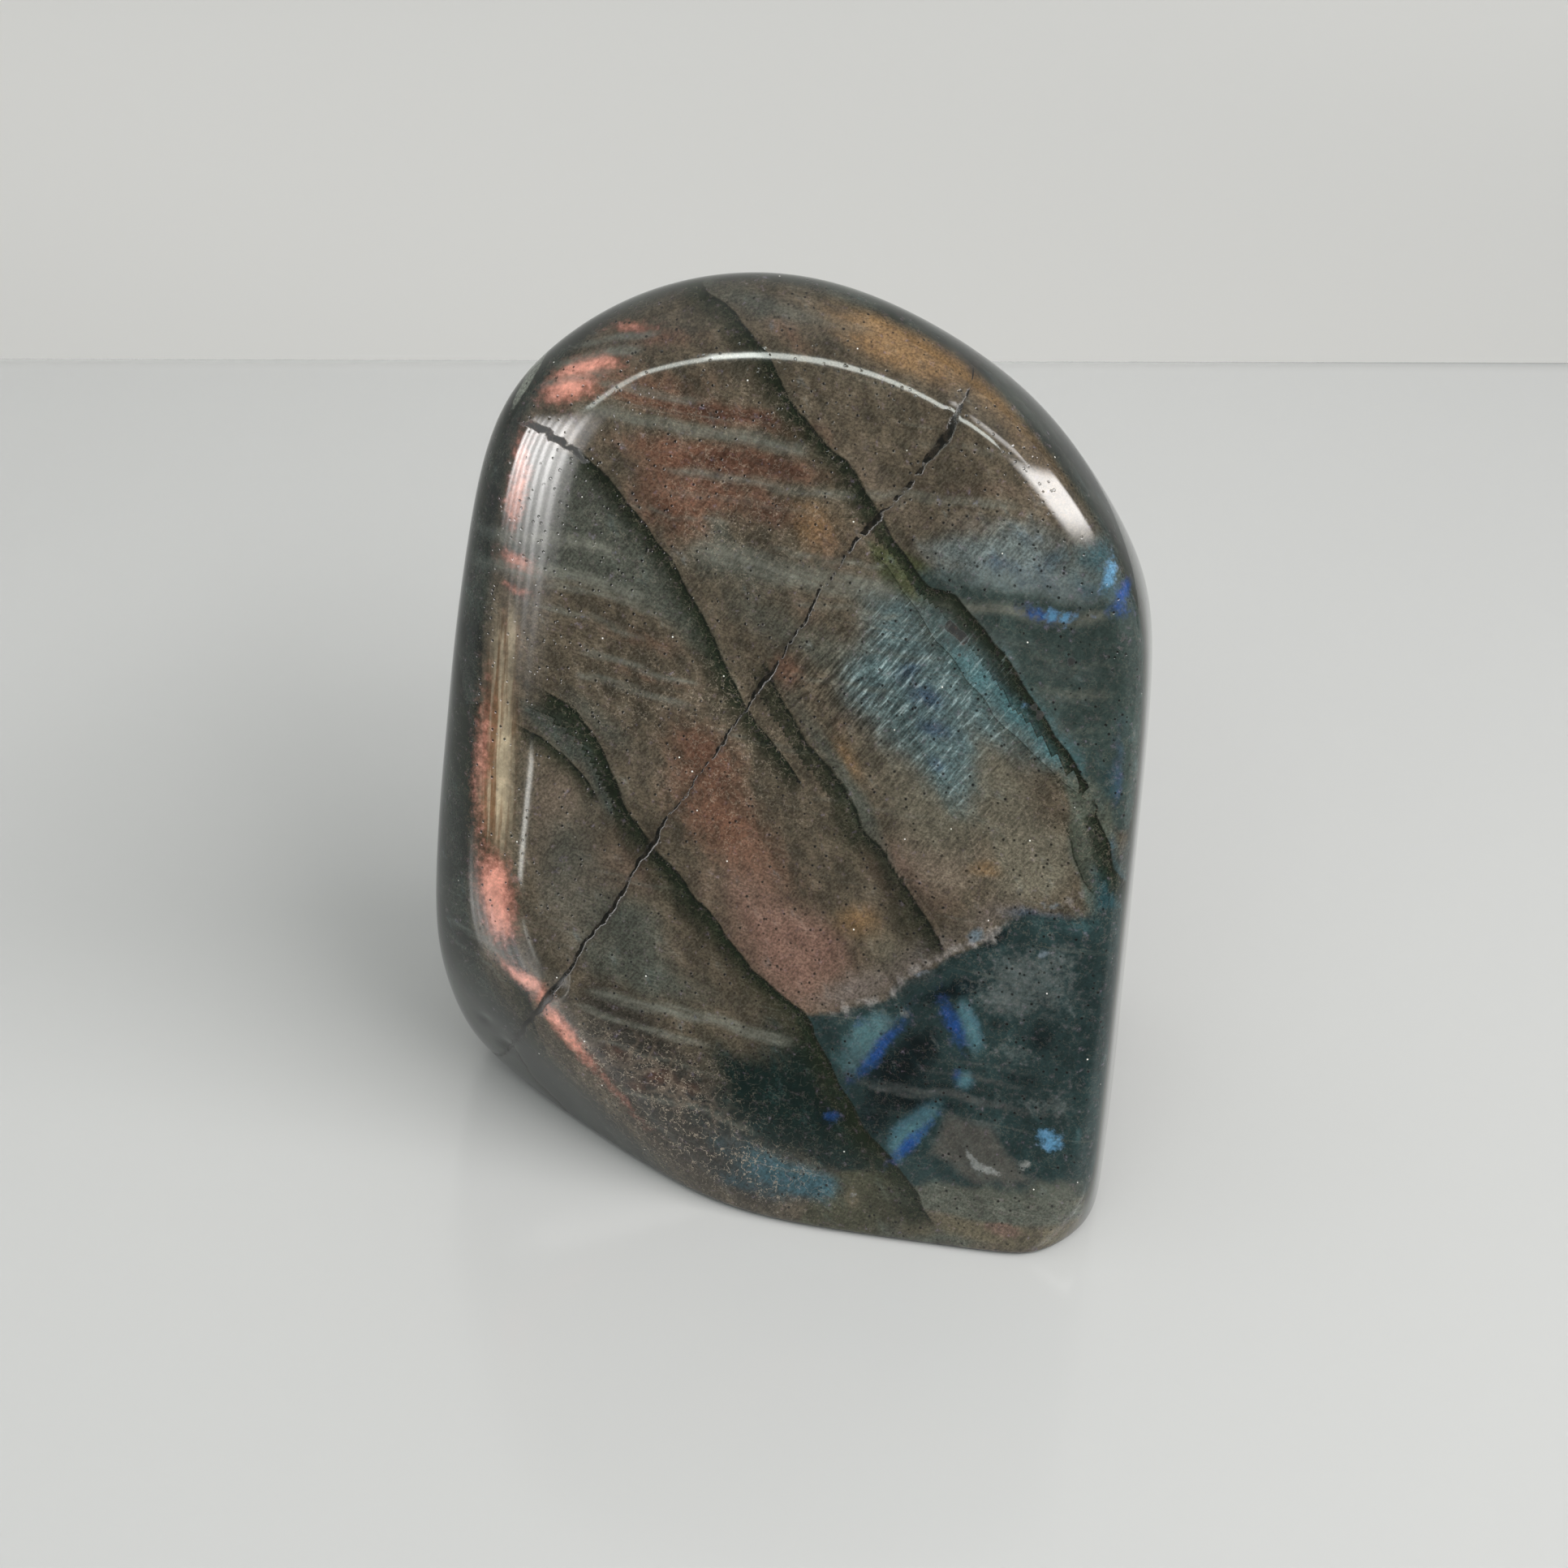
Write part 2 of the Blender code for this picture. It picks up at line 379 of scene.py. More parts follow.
crack_x, crack_y = wander(map_x, map_y, *CRACK_WAVES)
crack_gap, crack_run = line_gap(crack_x, crack_y, [place[:2] for place in CRACK])
crack_half = np.interp(crack_run, np.arange(len(CRACK)), [place[2] for place in CRACK])
side_gap = np.abs(line_gap(crack_x, crack_y, SIDE_CRACK)[0])
beside = side_gap < np.abs(crack_gap)
crack_gap = np.where(beside, side_gap, np.abs(crack_gap))
crack_half = np.where(beside, SIDE_CRACK_HALF, crack_half)
marks["crack_gap"] = np.minimum(crack_gap, CRACK_FELT)
marks["crack_half"] = crack_half + CRACK_LEAST
crack_length = sum(np.hypot(*np.subtract(a[:2], b[:2])) for a, b in zip(CRACK, CRACK[1:]))
print("the crack is", round(float(crack_length)), "mm long")

# %% [markdown]
# ## Pale layers
#
# Grey-green ribbons lie across the copper, nearly level: they are thin sheets of another feldspar that
# grew inside the crystal, and the polished face cuts them at a low angle. The wide ones are drawn as
# lines with a soft profile, exp(-(distance / half width) ^ 2), and the finish splits them into threads.

# %% The layers
# half width in mm, strength, points
LAYERS = (
    (0.75, 0.9, ((-25, 42), (-11.5, 41), (-0.5, 40), (3.5, 39.8))),
    (0.6, 0.7, ((-15.5, 37), (-3.5, 36), (6, 35.7), (15, 36.4), (27, 35.8))),
    (1.6, 0.8, ((-11, 29.5), (-1.5, 27.8), (8, 26.6), (14, 26.2))),
    (0.8, 0.8, ((14, 26.2), (20, 25.8), (28, 25.4), (35.5, 26.3))),
    (0.9, 0.8, ((-36, 27.5), (-21.5, 28.4), (-14, 27))),
    (0.9, 0.9, ((-36, 24.2), (-23, 25), (-10, 22.7))),
    (0.5, 0.7, ((-26.5, 23.6), (-18, 23.2), (-9.3, 21.3))),
    (0.5, 0.6, ((-26.5, 21.5), (-19.5, 20.7), (-10.7, 18.2))),
    (0.45, 0.8, ((-21, 17), (-15.5, 16.4), (-3.7, 14))),
    (0.5, 0.8, ((-21.5, 14.5), (-14, 13.8), (-5.3, 12))),
    (0.6, 0.5, ((3, 20.5), (11, 20), (20.5, 20.3))),
    (0.8, 0.9, ((-19, -19.5), (-10, -20.5), (-1, -21.5), (7.5, -23))),
    (0.5, 0.8, ((-20, -21.5), (-11.5, -22.8), (-1, -25))),
    (0.5, 0.6, ((-16, -30.5), (-5, -31.5), (5, -34))),
    (0.6, 0.7, ((-21.5, 44.5), (-15, 44), (-6, 43.4))),
    (0.5, 0.9, ((-27, 45), (-19.5, 47), (-14.5, 48.5))),
    (0.4, 0.8, ((-26, 47), (-18, 48.7), (-12.5, 50.3))),
    (0.5, 0.8, ((-36, -15), (-28.5, -16.2), (-22.5, -20))),
    (0.4, 0.7, ((-36, -17), (-29.5, -18.5), (-24.5, -21.5))),
    (0.9, 0.5, ((-4, 53), (2, 52.7), (9.5, 51))),
    (0.4, 0.7, ((-3, 30.2), (6, 29), (14, 28.6))),
    (0.5, 0.5, ((23, 21.7), (30, 21), (36.5, 21.3))),
    (0.6, 0.6, ((25.5, 18.6), (31, 18), (36.5, 18.4))),
    (0.4, 0.5, ((28, 14.8), (32, 14.4), (36.5, 14.5))),
    (0.45, 0.5, ((10, 41.5), (18, 41.6), (25, 40.5))),
    (0.5, 0.5, ((-16, 34.9), (-4, 33.9), (7, 33.4))),
    (0.35, 0.7, ((-1, 24.8), (8, 24), (16, 23.6))),
    (0.4, 0.6, ((0, 17.5), (8, 16.4), (15, 16))),
    (0.35, 0.6, ((-8, 10.5), (0, 9.5), (8, 8.8))),
    (0.4, 0.5, ((3, 4.6), (12, 3.8), (20, 3.6))),
    (0.35, 0.6, ((-22, 33), (-12, 32.2), (-2, 31.4))),
    (0.4, 0.5, ((-20, -6), (-12, -6.8), (-4, -8))),
    (0.4, 0.6, ((-19, -24.4), (-9, -26.2), (1, -28.4))),
    (0.5, 0.9, ((-28, 43), (-22, 44.6), (-17, 46))),
)
LAYER_END = 0.5  # how much of the first and of the last piece of its line a layer takes to fade

layers = np.zeros(len(points))
for half_width, strength, line in LAYERS:
    gap, run = line_gap(waved_x, waved_y, line)
    ends = ramp(run, 0.0, LAYER_END) * ramp(len(line) - 1 - run, 0.0, LAYER_END)
    layers = np.maximum(layers, strength * ends * np.exp(-((gap / half_width) ** 2)))
marks["layers"] = layers
print(len(LAYERS), "layers are drawn by hand")

# %% [markdown]
# ## Where copper shows
#
# Copper shows on the front and over the top bevel, and it goes out where the side turns away to the left.
# The copper is a painted sheen: it stands for light that the sheets in the crystal send back, so it is
# laid into the colour only where the surface faces the front. The lean of the surface says where that is:
# 1 looks out as the front does, 0 looks sideways, and below 0 begins the back.

# %% Painted copper sheen by the lean of the surface
FACING_LEAN = (0.1, 0.55)  # from the first to the second, the front's drawing comes in
PAINTED_SHEEN_LEAN = (0.30, 0.75)
PAINTED_SHEEN_LEFT_END = (0.36, 0.5)

facing = ramp(lean_out, *FACING_LEAN)
# painted sheen: copper is laid on where the surface faces the front, and taken off where the side turns away
marks["copper"] = ramp(lean_out, *PAINTED_SHEEN_LEAN) * (1 - ramp(-lean_right, *PAINTED_SHEEN_LEFT_END))
print("copper covers", round(100 * float((marks["copper"] > 0.5).mean())), "% of the mesh's points")

# %% [markdown]
# ## Zones of colour
#
# Labradorite shows its colours in patches, where thin sheets in the crystal lie just right for the light.
# A patch is a few soft oval spots, or the inside of an outline. Only a soft map is made here; the finish
# breaks its edge up with fine noise, as the crystal does. Each zone has its colour in linear light, the
# two levels of its map between which it comes in, the size of the noise at its edge (fine, middling or
# wide) and how far that noise reaches. They are listed from the lowest to the one on top.

# %% The zones
# An outline is a list of (x, y); spots are (x, y, half length, half width, turn, strength).
TEAL_OUTLINE = (
    (15, 28.5), (19, 29), (24, 29.6), (30, 29.5), (35, 30), (42, 31), (42, 4), (37, 4.5), (32.5, 10.5),
    (28.7, 15.5), (26, 18.3), (22.5, 21.5), (19, 20.5), (16.5, 23),
)
DEEP_OUTLINE = (
    (44, -5), (36.3, -5), (33.9, -6.2), (30.3, -6), (28.1, -6.3), (26.8, -7.2), (24.8, -9.8), (22.8, -11.2),
    (21.3, -11.7), (20, -12.9), (18, -14.1), (16.6, -14.7), (15.5, -16.8), (12.6, -18.1), (9.2, -19.7),
    (6.5, -20.2), (9.5, -25.5), (12.6, -30.8), (15.5, -34.6), (18, -36.8), (25, -36.8), (34, -36.5),
    (44, -35),
)
ZONES = (
    ("warm", (0.126, 0.063, 0.040), 0.2, 1.0, "middling", 0.9, (
        (-14, 45, 9, 2, 5, 0.6), (-6, 42.4, 12, 1.2, -4, 0.9), (-5, 38.2, 12, 1.5, -4, 1.0),
        (-11, 33.5, 6, 4, -30, 0.9), (-2, 34, 8, 2.2, -12, 0.7), (5.5, 29, 3, 4, 20, 0.4),
        (-2.5, -0.5, 10, 4.5, -40, 0.9), (-6, 8, 5, 3, -30, 0.7), (2, 17.5, 2.2, 2.6, 0, 0.8),
        (-13, 19, 7, 1.6, -8, 0.5), (-12, 15.3, 8, 0.9, -8, 0.5), (-26, 31, 1.5, 4, 0, 0.5),
        (-10, -28, 9, 3, -15, 0.8), (-1, 51, 5, 1.6, -30, 0.5), (-14, 49.5, 6, 1.2, 5, 0.7))),
    ("rose", (0.165, 0.098, 0.074), 0.15, 1.2, "wide", 0.8, (
        (-14, -6, 5, 5, -40, 0.5), (-9, 12, 4, 3, -40, 0.4), (3, 24, 4, 2, -30, 0.4),
        (0, -8, 7, 4.5, -40, 0.8), (5, -15, 6, 4, -45, 0.9), (14, -2, 4, 3, -50, 0.8),
        (9, -12, 5, 3, -45, 0.7), (20, -6, 4, 2.5, -50, 0.5), (22, 37.5, 7, 1.0, -4, 0.5))),
    ("sand", (0.148, 0.116, 0.086), 0.1, 1.1, "wide", 0.9, (
        (-17, -14, 4, 4, -40, 0.7), (-19, 2, 3, 5, -30, 0.7), (-8, -14, 5, 3, -45, 0.5),
        (-21, 8, 3, 5, -40, 0.5), (-12, 6, 5, 3, -40, 0.4), (8, 38, 5, 2, -40, 0.5),
        (26, 36.5, 5, 1.5, -15, 0.6), (16, 1, 5, 2, -50, 0.6), (-18.5, -8, 4, 6, 0, 0.9),
        (24.5, 0.5, 3.5, 3, 0, 0.9), (20, -2, 4, 3, -50, 0.6), (18, 34, 6, 1.2, 0, 0.7),
        (-22, -2, 2.5, 6, 0, 0.5), (3, -3, 5, 3, -40, 0.4), (12, -5, 4, 3, -50, 0.4))),
    ("gold", (0.200, 0.120, 0.055), 0.15, 1.0, "wide", 0.6, (
        (9, 50.6, 8, 1.9, -20, 1.2), (16, 50.5, 5, 1.5, -35, 0.6), (3.5, 32.5, 4, 3, -40, 0.6),
        (24, 43, 10, 2.5, -45, 0.5), (8.5, 8.5, 3.6, 1.6, -62, 0.7), (11, -8.5, 3, 2.5, 0, 0.7),
        (24.6, 1.5, 2.2, 1.8, 0, 0.6), (24.9, -1.2, 2.6, 0.9, 8, 1.3))),
    ("khaki", (0.122, 0.110, 0.080), 0.1, 1.1, "wide", 0.5, (
        (24, 6.5, 8, 3.6, -58, 1.5), (29.5, 0, 3, 4.5, -50, 1.2), (19, 4, 6, 2.5, -55, 0.7),
        (15, 5, 7, 3, -55, 0.7), (12, 27.5, 1.6, 3, 40, 0.6), (-25.5, 0, 2, 8, 0, 0.5),
        (-18, 0, 3, 7, -45, 0.5), (15.5, -11.5, 4, 2.5, -40, 0.6), (17, 33, 5, 1, -5, 0.4),
        (22, 15.5, 3, 0.9, -40, 0.5), (6, 47, 7, 1, -5, 0.4))),
    ("smoke", (0.066, 0.070, 0.056), 0.2, 1.1, "wide", 0.8, (
        (-19, -4, 4, 5, 0, 0.5), (-12, -12, 5, 3, -40, 0.5),
        (-3, 27.6, 10, 2.0, -5, 0.9), (-6.2, 31.2, 2.4, 1.4, -45, 0.8), (-1, 22.5, 6, 2.5, -20, 0.7),
        (-17, 9.5, 6, 1.8, -35, 0.8), (-15, -12, 7, 5, 0, 0.7), (-10, -17.5, 9, 2.5, -12, 0.9),
        (-4.5, 53.3, 7, 1.6, -10, 0.9), (9.5, 5, 13, 1.5, -56, 1.0), (7, 19.5, 5, 3, -10, 0.6),
        (-21, -5, 3, 6, -10, 0.4), (15, 44, 8, 1.4, -8, 0.4), (-16, 4, 4, 2, -45, 0.5))),
    ("net", (0.034, 0.031, 0.025), 0.1, 1.0, "wide", 0.6, (
        (-10, -27, 9, 4.5, -22, 1.0), (-4, -34, 8, 5, -30, 1.1), (3, -39, 6, 3, -10, 0.9),
        (-15, -21, 6, 2.5, -15, 0.6))),
    ("wedge", (0.062, 0.066, 0.053), -0.6, 1.4, "middling", 1.2, (
        (-29, 39), (-20.8, 37.3), (-16.3, 33.3), (-10.7, 27.5), (-5.8, 19.6), (-3, 14.5), (-7.5, 18),
        (-12, 21.5), (-20, 24), (-29, 25))),
    ("shade", (0.046, 0.052, 0.042), -0.6, 1.4, "middling", 1.2, (
        (-27, 11.5), (-20.5, 11), (-16, 5), (-13.5, 0), (-15.5, -1), (-19, 4), (-24, 7.5))),
    ("rust", (0.062, 0.031, 0.020), 0.2, 1.1, "middling", 1.2, (
        (-8, 36.2, 5, 1.0, -4, 0.8), (-12, 31.5, 4, 2, -40, 0.5), (-14, 40.5, 4, 0.7, -4, 0.5),
        (4, 41, 3, 0.8, -4, 0.5), (8, 12.5, 1.6, 3, -30, 0.5), (-7, 1.5, 3, 1.5, -40, 0.5),
        (12, -8, 2, 4, -45, 0.3), (-8, 42.5, 3, 1.0, -4, 1.0), (-2, 42.2, 3, 0.9, -4, 0.8),
        (-5, 38.2, 4, 1.1, -4, 1.0), (0.5, 37.6, 2.5, 0.9, -4, 0.9), (-9, 37.6, 2, 1.0, -4, 0.6),
        (-1, 33.2, 3, 1.6, -10, 0.6), (-13, -26.5, 2, 1.2, -10, 1.0), (-8.5, -28.5, 2, 1.3, 0, 1.0),
        (-5, -29.5, 1.6, 1.0, 0, 0.9), (-11, -30, 1.8, 0.8, -20, 0.9), (-3, 4, 3, 2, -20, 0.5))),
    ("fan", (0.055, 0.060, 0.028), -0.2, 0.7, "fine", 0.6, (
        (8.5, 31.5), (12, 31), (15.5, 30), (19.7, 26.6), (22, 23.5), (20, 25.3), (15, 25.3), (11, 26.5))),
    ("teal", (0.032, 0.048, 0.043), -1.5, -0.1, "middling", 1.6, TEAL_OUTLINE),
    ("dusk", (0.058, 0.070, 0.064), 0.1, 1.0, "middling", 0.9, (
        (19, 24, 4, 2, -40, 0.9), (28, 20, 7, 0.9, 0, 0.6), (29, 17.5, 6, 0.5, 0, 0.7),
        (25, 22.5, 5, 0.8, 0, 0.5), (30, 14, 3, 2, -40, 0.6))),
    ("steel", (0.118, 0.142, 0.138), 0.1, 1.3, "middling", 0.9, (
        (25, 28.4, 8, 1.3, -3, 0.7), (31, 28.3, 4, 1.5, 0, 0.4), (16, 31.5, 3, 1.2, 0, 0.4),
        (20, 31, 5, 2.2, 0, 0.9), (26, 31, 6, 2.4, -5, 0.9), (24, 34, 7, 1.2, -5, 0.5),
        (32, 31, 2.5, 2.5, 0, 0.5))),
    ("pale ridge", (0.080, 0.090, 0.070), 0.3, 0.9, "fine", 0.5, (
        (33.5, 3.5, 1.8, 4, 10, 1.1), (32, 8, 4, 1.2, -55, 0.8), (35.5, 1, 1.6, 4, 0, 1.1),
        (35.5, -3, 1.6, 3, 0, 0.7), (34.5, 7.5, 1.6, 3, 25, 0.7))),
    ("haze", (0.080, 0.118, 0.120), 0.1, 1.25, "middling", 0.6, (
        (16, 13, 8, 6, -50, 0.35), (22, 20, 4, 2.5, -40, 0.9), (27, 12.5, 4, 2.5, -47, 0.7),
        (12, 25.4, 5, 1.6, -10, 0.6), (20, 6, 4, 2, -50, 0.5), (13, 21.5, 4.5, 3.5, -40, 1.0),
        (17, 16, 5, 4, -50, 1.0), (19, 10.5, 4.5, 3, -60, 0.8), (9.5, 17, 3, 3.5, -20, 0.8),
        (21.5, 17.5, 4, 2, -45, 0.7), (23, 13.5, 4, 1.2, -50, 0.4), (13, 12.5, 3, 3, -40, 0.4))),
    ("navy", (0.036, 0.062, 0.098), 0.1, 1.3, "middling", 1.2, (
        (22.5, 30.2, 2.6, 1.0, -5, 0.8), (27.5, 31.2, 2.2, 1.2, 40, 0.7), (25, 33.3, 2.5, 0.9, 0, 0.5),
        (23.2, 18.3, 1.2, 0.7, -40, 0.8), (26, 15.2, 1.4, 0.8, -45, 0.9), (32, 28.6, 3, 1.0, 0, 0.6),
        (14.2, 18.9, 1.9, 1.0, 30, 1.0), (16.3, 16.3, 2.4, 1.1, -10, 1.0), (17.4, 13, 2.4, 1.1, -15, 1.0),
        (18, 9.4, 1.6, 0.9, -20, 0.8), (26, 28.5, 3, 0.7, 0, 0.5), (28, -5.5, 2.4, 1.0, 0, 0.9),
        (32, -5.4, 2, 0.8, 0, 0.7), (36, 11, 0.7, 4.5, 0, 0.8), (36.4, 2, 0.5, 3, 0, 0.7),
        (10.5, 15.5, 1.5, 1.2, 0, 0.4))),
    ("lagoon", (0.020, 0.052, 0.060), 0.1, 1.3, "middling", 1.2, (
        (32, 32, 2.4, 2.2, 0, 1.1), (28, 31.5, 2, 1.5, 30, 0.6), (36.8, -3, 2.2, 5.5, 0, 1.4),
        (35, 8, 1.6, 3, 0, 0.7), (33, -6.6, 3, 1.4, 0, 0.9), (33, 28.5, 3, 1.2, 0, 0.7),
        (27, -6.2, 3, 1.2, 0, 0.5))),
    ("deep", (0.018, 0.034, 0.034), -1.0, -0.3, "middling", 1.6, DEEP_OUTLINE),
    ("moss", (0.006, 0.015, 0.013), 0.05, 1.2, "middling", 0.9, (
        (2.5, -30, 5, 4, -45, 0.9), (10, -33.8, 5, 2.6, -35, 1.1), (-3, -32.5, 5, 3, -30, 0.5),
        (3, -21, 3, 2, -50, 0.6), (-2, -25, 4, 1.5, -40, 0.4), (7, -28.5, 6, 3.5, -55, 1.1),
        (1, -27, 5, 2.2, -30, 0.5), (7.5, -24, 3, 2, -50, 0.7), (4, -33, 5, 2.2, -30, 0.5),
        (12.5, -33.5, 4, 2.5, -50, 1.0))),
    ("black", (0.003, 0.007, 0.008), 0.15, 1.1, "middling", 1.3, (
        (16, -24.5, 3, 2.5, 0, 1.0), (18.8, -21.3, 2.5, 3, 0, 1.0), (22, -14.8, 4.2, 1.2, 22, 1.1),
        (24, -25.5, 5, 0.9, 0, 0.7), (26.5, -17.8, 1.6, 0.9, 0, 0.7), (31.2, -18.7, 1.5, 2, 0, 0.9),
        (15, -30, 2.5, 3, -50, 0.8), (29.5, -23.3, 2.4, 0.9, 0, 0.7), (20.5, -27.7, 5, 1.0, -4, 0.9),
        (25.6, -8.8, 2.6, 0.8, 38, 1.0), (33, -7.6, 2, 0.6, 0, 0.5), (36, -22, 1.2, 6, 0, 0.5))),
    ("cloudy", (0.088, 0.105, 0.102), 0.2, 1.3, "fine", 2.2, (
        (29, -12, 4.5, 3, 0, 1.0), (33, -9.5, 2, 2, 0, 0.5), (27, -15.5, 3, 1.6, 0, 0.9),
        (33.5, -15, 2.5, 3, 0, 0.5), (28.5, -20.8, 3, 1.3, 0, 0.7), (31, -26, 5, 0.9, -3, 0.6),
        (26.5, -29.5, 3, 1.6, 0, 0.7), (21, -31.5, 2, 1.5, 0, 0.5), (34.5, -26, 2, 4, 0, 0.5))),
    ("shard", (0.055, 0.095, 0.105), -0.6, 1.2, "middling", 1.8, (
        (10.6, -23.5), (11.2, -20.6), (12.6, -19.2), (14.8, -17.6), (16.3, -18.2), (15.9, -19.9),
        (14, -22.9), (12.7, -25.6), (11.6, -25.2))),
    ("flare", (0.050, 0.110, 0.140), 0.2, 0.9, "fine", 0.6, (
        (23.8, -18.5, 3.0, 1.2, -70, 1.0), (19.0, -30.4, 4.0, 1.5, 50, 1.1), (24.0, -24.7, 1.2, 1.2, 0, 0.9),
        (13.4, -18.9, 2, 1, 30, 0.5))),
    ("streaks", (0.054, 0.062, 0.060), 0.2, 0.9, "fine", 0.6, (
        (24, -26.5, 12, 0.6, -4, 0.9), (26, -24.2, 9, 0.35, -3, 0.8), (26, -22.6, 9, 0.4, -1, 0.6),
        (22, -28.3, 8, 0.3, -4, 0.5), (17, -26.8, 5, 0.3, -8, 0.6))),
    ("panel", (0.066, 0.066, 0.058), -0.5, 1.0, "middling", 1.6, (
        (22.5, -28.7), (24.4, -28.5), (27.5, -29.5), (29.2, -31.7), (30.9, -33.8), (33.2, -34.9),
        (25.8, -36.2), (23.3, -34.5), (20.5, -33.5), (21.2, -31.9))),
    ("curry", (0.048, 0.048, 0.029), -0.3, 0.6, "middling", 1.0, (
        (10.5, -37), (14, -36), (17, -35.5), (19, -37.2), (21, -40.5), (22, -46), (6, -47), (8.5, -41))),
    ("bottom", (0.070, 0.076, 0.060), 0.2, 0.8, "middling", 0.9, (
        (30, -38.3, 10, 2.0, -2, 1.2), (24, -38.5, 6, 1.3, 0, 0.8), (22, -42.5, 7, 1.5, 0, 0.9),
        (35, -35.5, 5, 1.5, 0, 0.6))),
    ("earth", (0.090, 0.078, 0.050), 0.3, 0.9, "middling", 0.9, (
        (29, -41.4, 9, 1.5, -3, 1.1), (20, -42.5, 3, 1.2, 0, 0.6), (13.4, -39.3, 1.1, 1.8, 20, 0.9),
        (37, -40.5, 4, 1.5, 0, 0.6))),
    ("clay", (0.130, 0.088, 0.066), 0.4, 0.9, "fine", 0.9, (
        (29.7, -40.7, 2.4, 1.1, 0, 1.1), (35, -41, 2, 0.8, 0, 0.5))),
    ("shell", (0.19, 0.20, 0.19), 0.45, 0.9, "fine", 1.6, (
        (25.5, -33.3, 2.2, 0.6, -45, 0.9), (27.8, -34.3, 1.6, 0.6, -20, 0.9), (30.8, -33, 1.1, 0.7, 0, 1.0),
        (13.5, -39.0, 0.8, 1.4, 20, 0.6))),
    ("breath", (0.135, 0.112, 0.100), 0.1, 1.5, "middling", 1.0, (
        (11.5, -16.2, 5, 2.2, 28, 1.0), (18.5, -11.2, 4, 2.2, 38, 0.9), (25, -6, 4, 2.0, 38, 0.7))),
    ("frost", (0.230, 0.210, 0.195), 0.5, 1.6, "middling", 3.4, (
        (9.8, -18.7, 2.4, 0.6, 25, 0.8), (13.5, -16.7, 2.6, 0.7, 25, 1.0), (16.6, -14.0, 2.0, 0.7, 45, 1.1),
        (19.5, -11.8, 2.4, 0.7, 30, 1.0), (22.5, -9.9, 2.8, 0.8, 25, 1.1), (25.5, -7.6, 2.2, 0.8, 45, 1.0),
        (33, -3.6, 1.6, 0.6, 40, 1.0), (17.5, -18.2, 2.0, 1.0, -40, 0.5))),
    ("ice", (0.110, 0.140, 0.160), 0.4, 0.9, "fine", 1.0, (
        (23.5, -8.6, 1.4, 1.0, 30, 1.0), (31, -4.2, 2, 0.7, 0, 0.7), (18.5, -13.1, 1.8, 0.5, 25, 0.7),
        (30.6, -9.4, 0.7, 0.6, 0, 1.1))),
    ("blue low", (0.028, 0.068, 0.084), 0.1, 1.2, "middling", 0.8, (
        (3, -36.5, 7, 2.5, -22, 0.7), (9.2, -38.7, 2.6, 1.7, 10, 1.1), (5, -38, 4, 1.5, -10, 0.8),
        (1, -39.6, 4, 1, -15, 0.6), (2, -43, 5, 1, 0, 0.3))),
    ("turquoise", (0.066, 0.145, 0.158), 0.0, 1.5, "middling", 1.3, (
        (20, 19.6, 3.2, 1.5, -38, 0.9), (24.2, 16.8, 3.2, 1.9, -38, 1.0), (26.4, 15.4, 2.0, 1.6, -40, 0.8),
        (29.2, 12.6, 3.2, 1.8, -47, 1.3), (32, 10.5, 1.5, 0.7, -50, 0.5), (12.8, -21.5, 3.8, 1.7, 60, 0.9),
        (23.7, -18.6, 2.6, 0.9, -70, 0.8), (24.0, -24.7, 0.9, 0.9, 0, 0.7), (19.3, -30.6, 3.6, 1.0, 50, 0.9),
        (34.0, -6.3, 2.4, 1.4, 0, 0.5), (36.4, -29.4, 0.4, 0.9, 0, 0.7))),
    ("royal", (0.012, 0.052, 0.185), 0.1, 1.7, "fine", 2.2, (
        (14.6, -22.2, 4.4, 0.7, 60, 1.5), (22.0, -18.4, 3.0, 0.8, -66, 1.5), (18.6, -32.4, 2.6, 0.7, 52, 1.5),
        (21.0, -29.7, 1.8, 0.4, 52, 0.6), (23.1, -24.3, 0.6, 0.9, 0, 0.9), (10.3, -30.6, 0.9, 0.75, 0, 1.2),
        (27.0, 25.7, 2.2, 0.5, -4, 1.8), (34.9, 28.4, 1.5, 0.7, 60, 1.6), (34.9, 26.6, 1.3, 0.55, 0, 1.0),
        (35.6, 29.8, 0.9, 0.5, 60, 0.8), (12, -19.7, 1.0, 0.5, 20, 0.7), (36.3, 8.5, 0.35, 2.2, 0, 0.5))),
    ("spark", (0.090, 0.220, 0.350), 0.35, 1.5, "fine", 3.0, (
        (33.2, 30.2, 1.7, 0.6, 86, 1.8), (28.6, 25.8, 2.1, 0.5, -2, 1.7), (33.1, -29.6, 1.0, 1.2, 30, 1.4),
        (34.4, -30.3, 0.9, 0.7, 40, 1.0), (33.6, -31.0, 0.7, 0.5, 0, 0.9), (26.3, 16.2, 0.9, 0.5, -40, 0.7))),
    ("ink", (0.004, 0.006, 0.005), 0.45, 0.8, "fine", 1.3, (
        (17.9, 23.8, 0.6, 0.4, 60, 1.7), (18.7, 23.1, 0.9, 0.45, -30, 1.8), (19.4, 22.5, 0.5, 0.45, 0, 1.6),
        (18.9, 20.8, 0.35, 0.2, 0, 1.0), (27.4, 16.1, 0.5, 0.4, 20, 1.5), (28.0, 15.2, 0.4, 0.4, 0, 1.5),
        (29.9, 21.6, 0.8, 0.35, 10, 1.6), (34.9, 13.6, 0.25, 0.25, 0, 1.0),
        (-23.7, 38.6, 4.0, 0.26, -28, 1.25), (-22.4, 37.6, 3.6, 0.2, -29, 1.1),
        (-26.2, 39.6, 2.2, 0.22, 6, 1.1), (35.2, 23.5, 0.3, 2.0, 0, 0.8))),
)
ON_TOP = ("royal", "spark", "ink")  # the zones that lie over the pale layers and the veins
DEEPEST = 6  # mm, past which the distance from an outline isn't needed

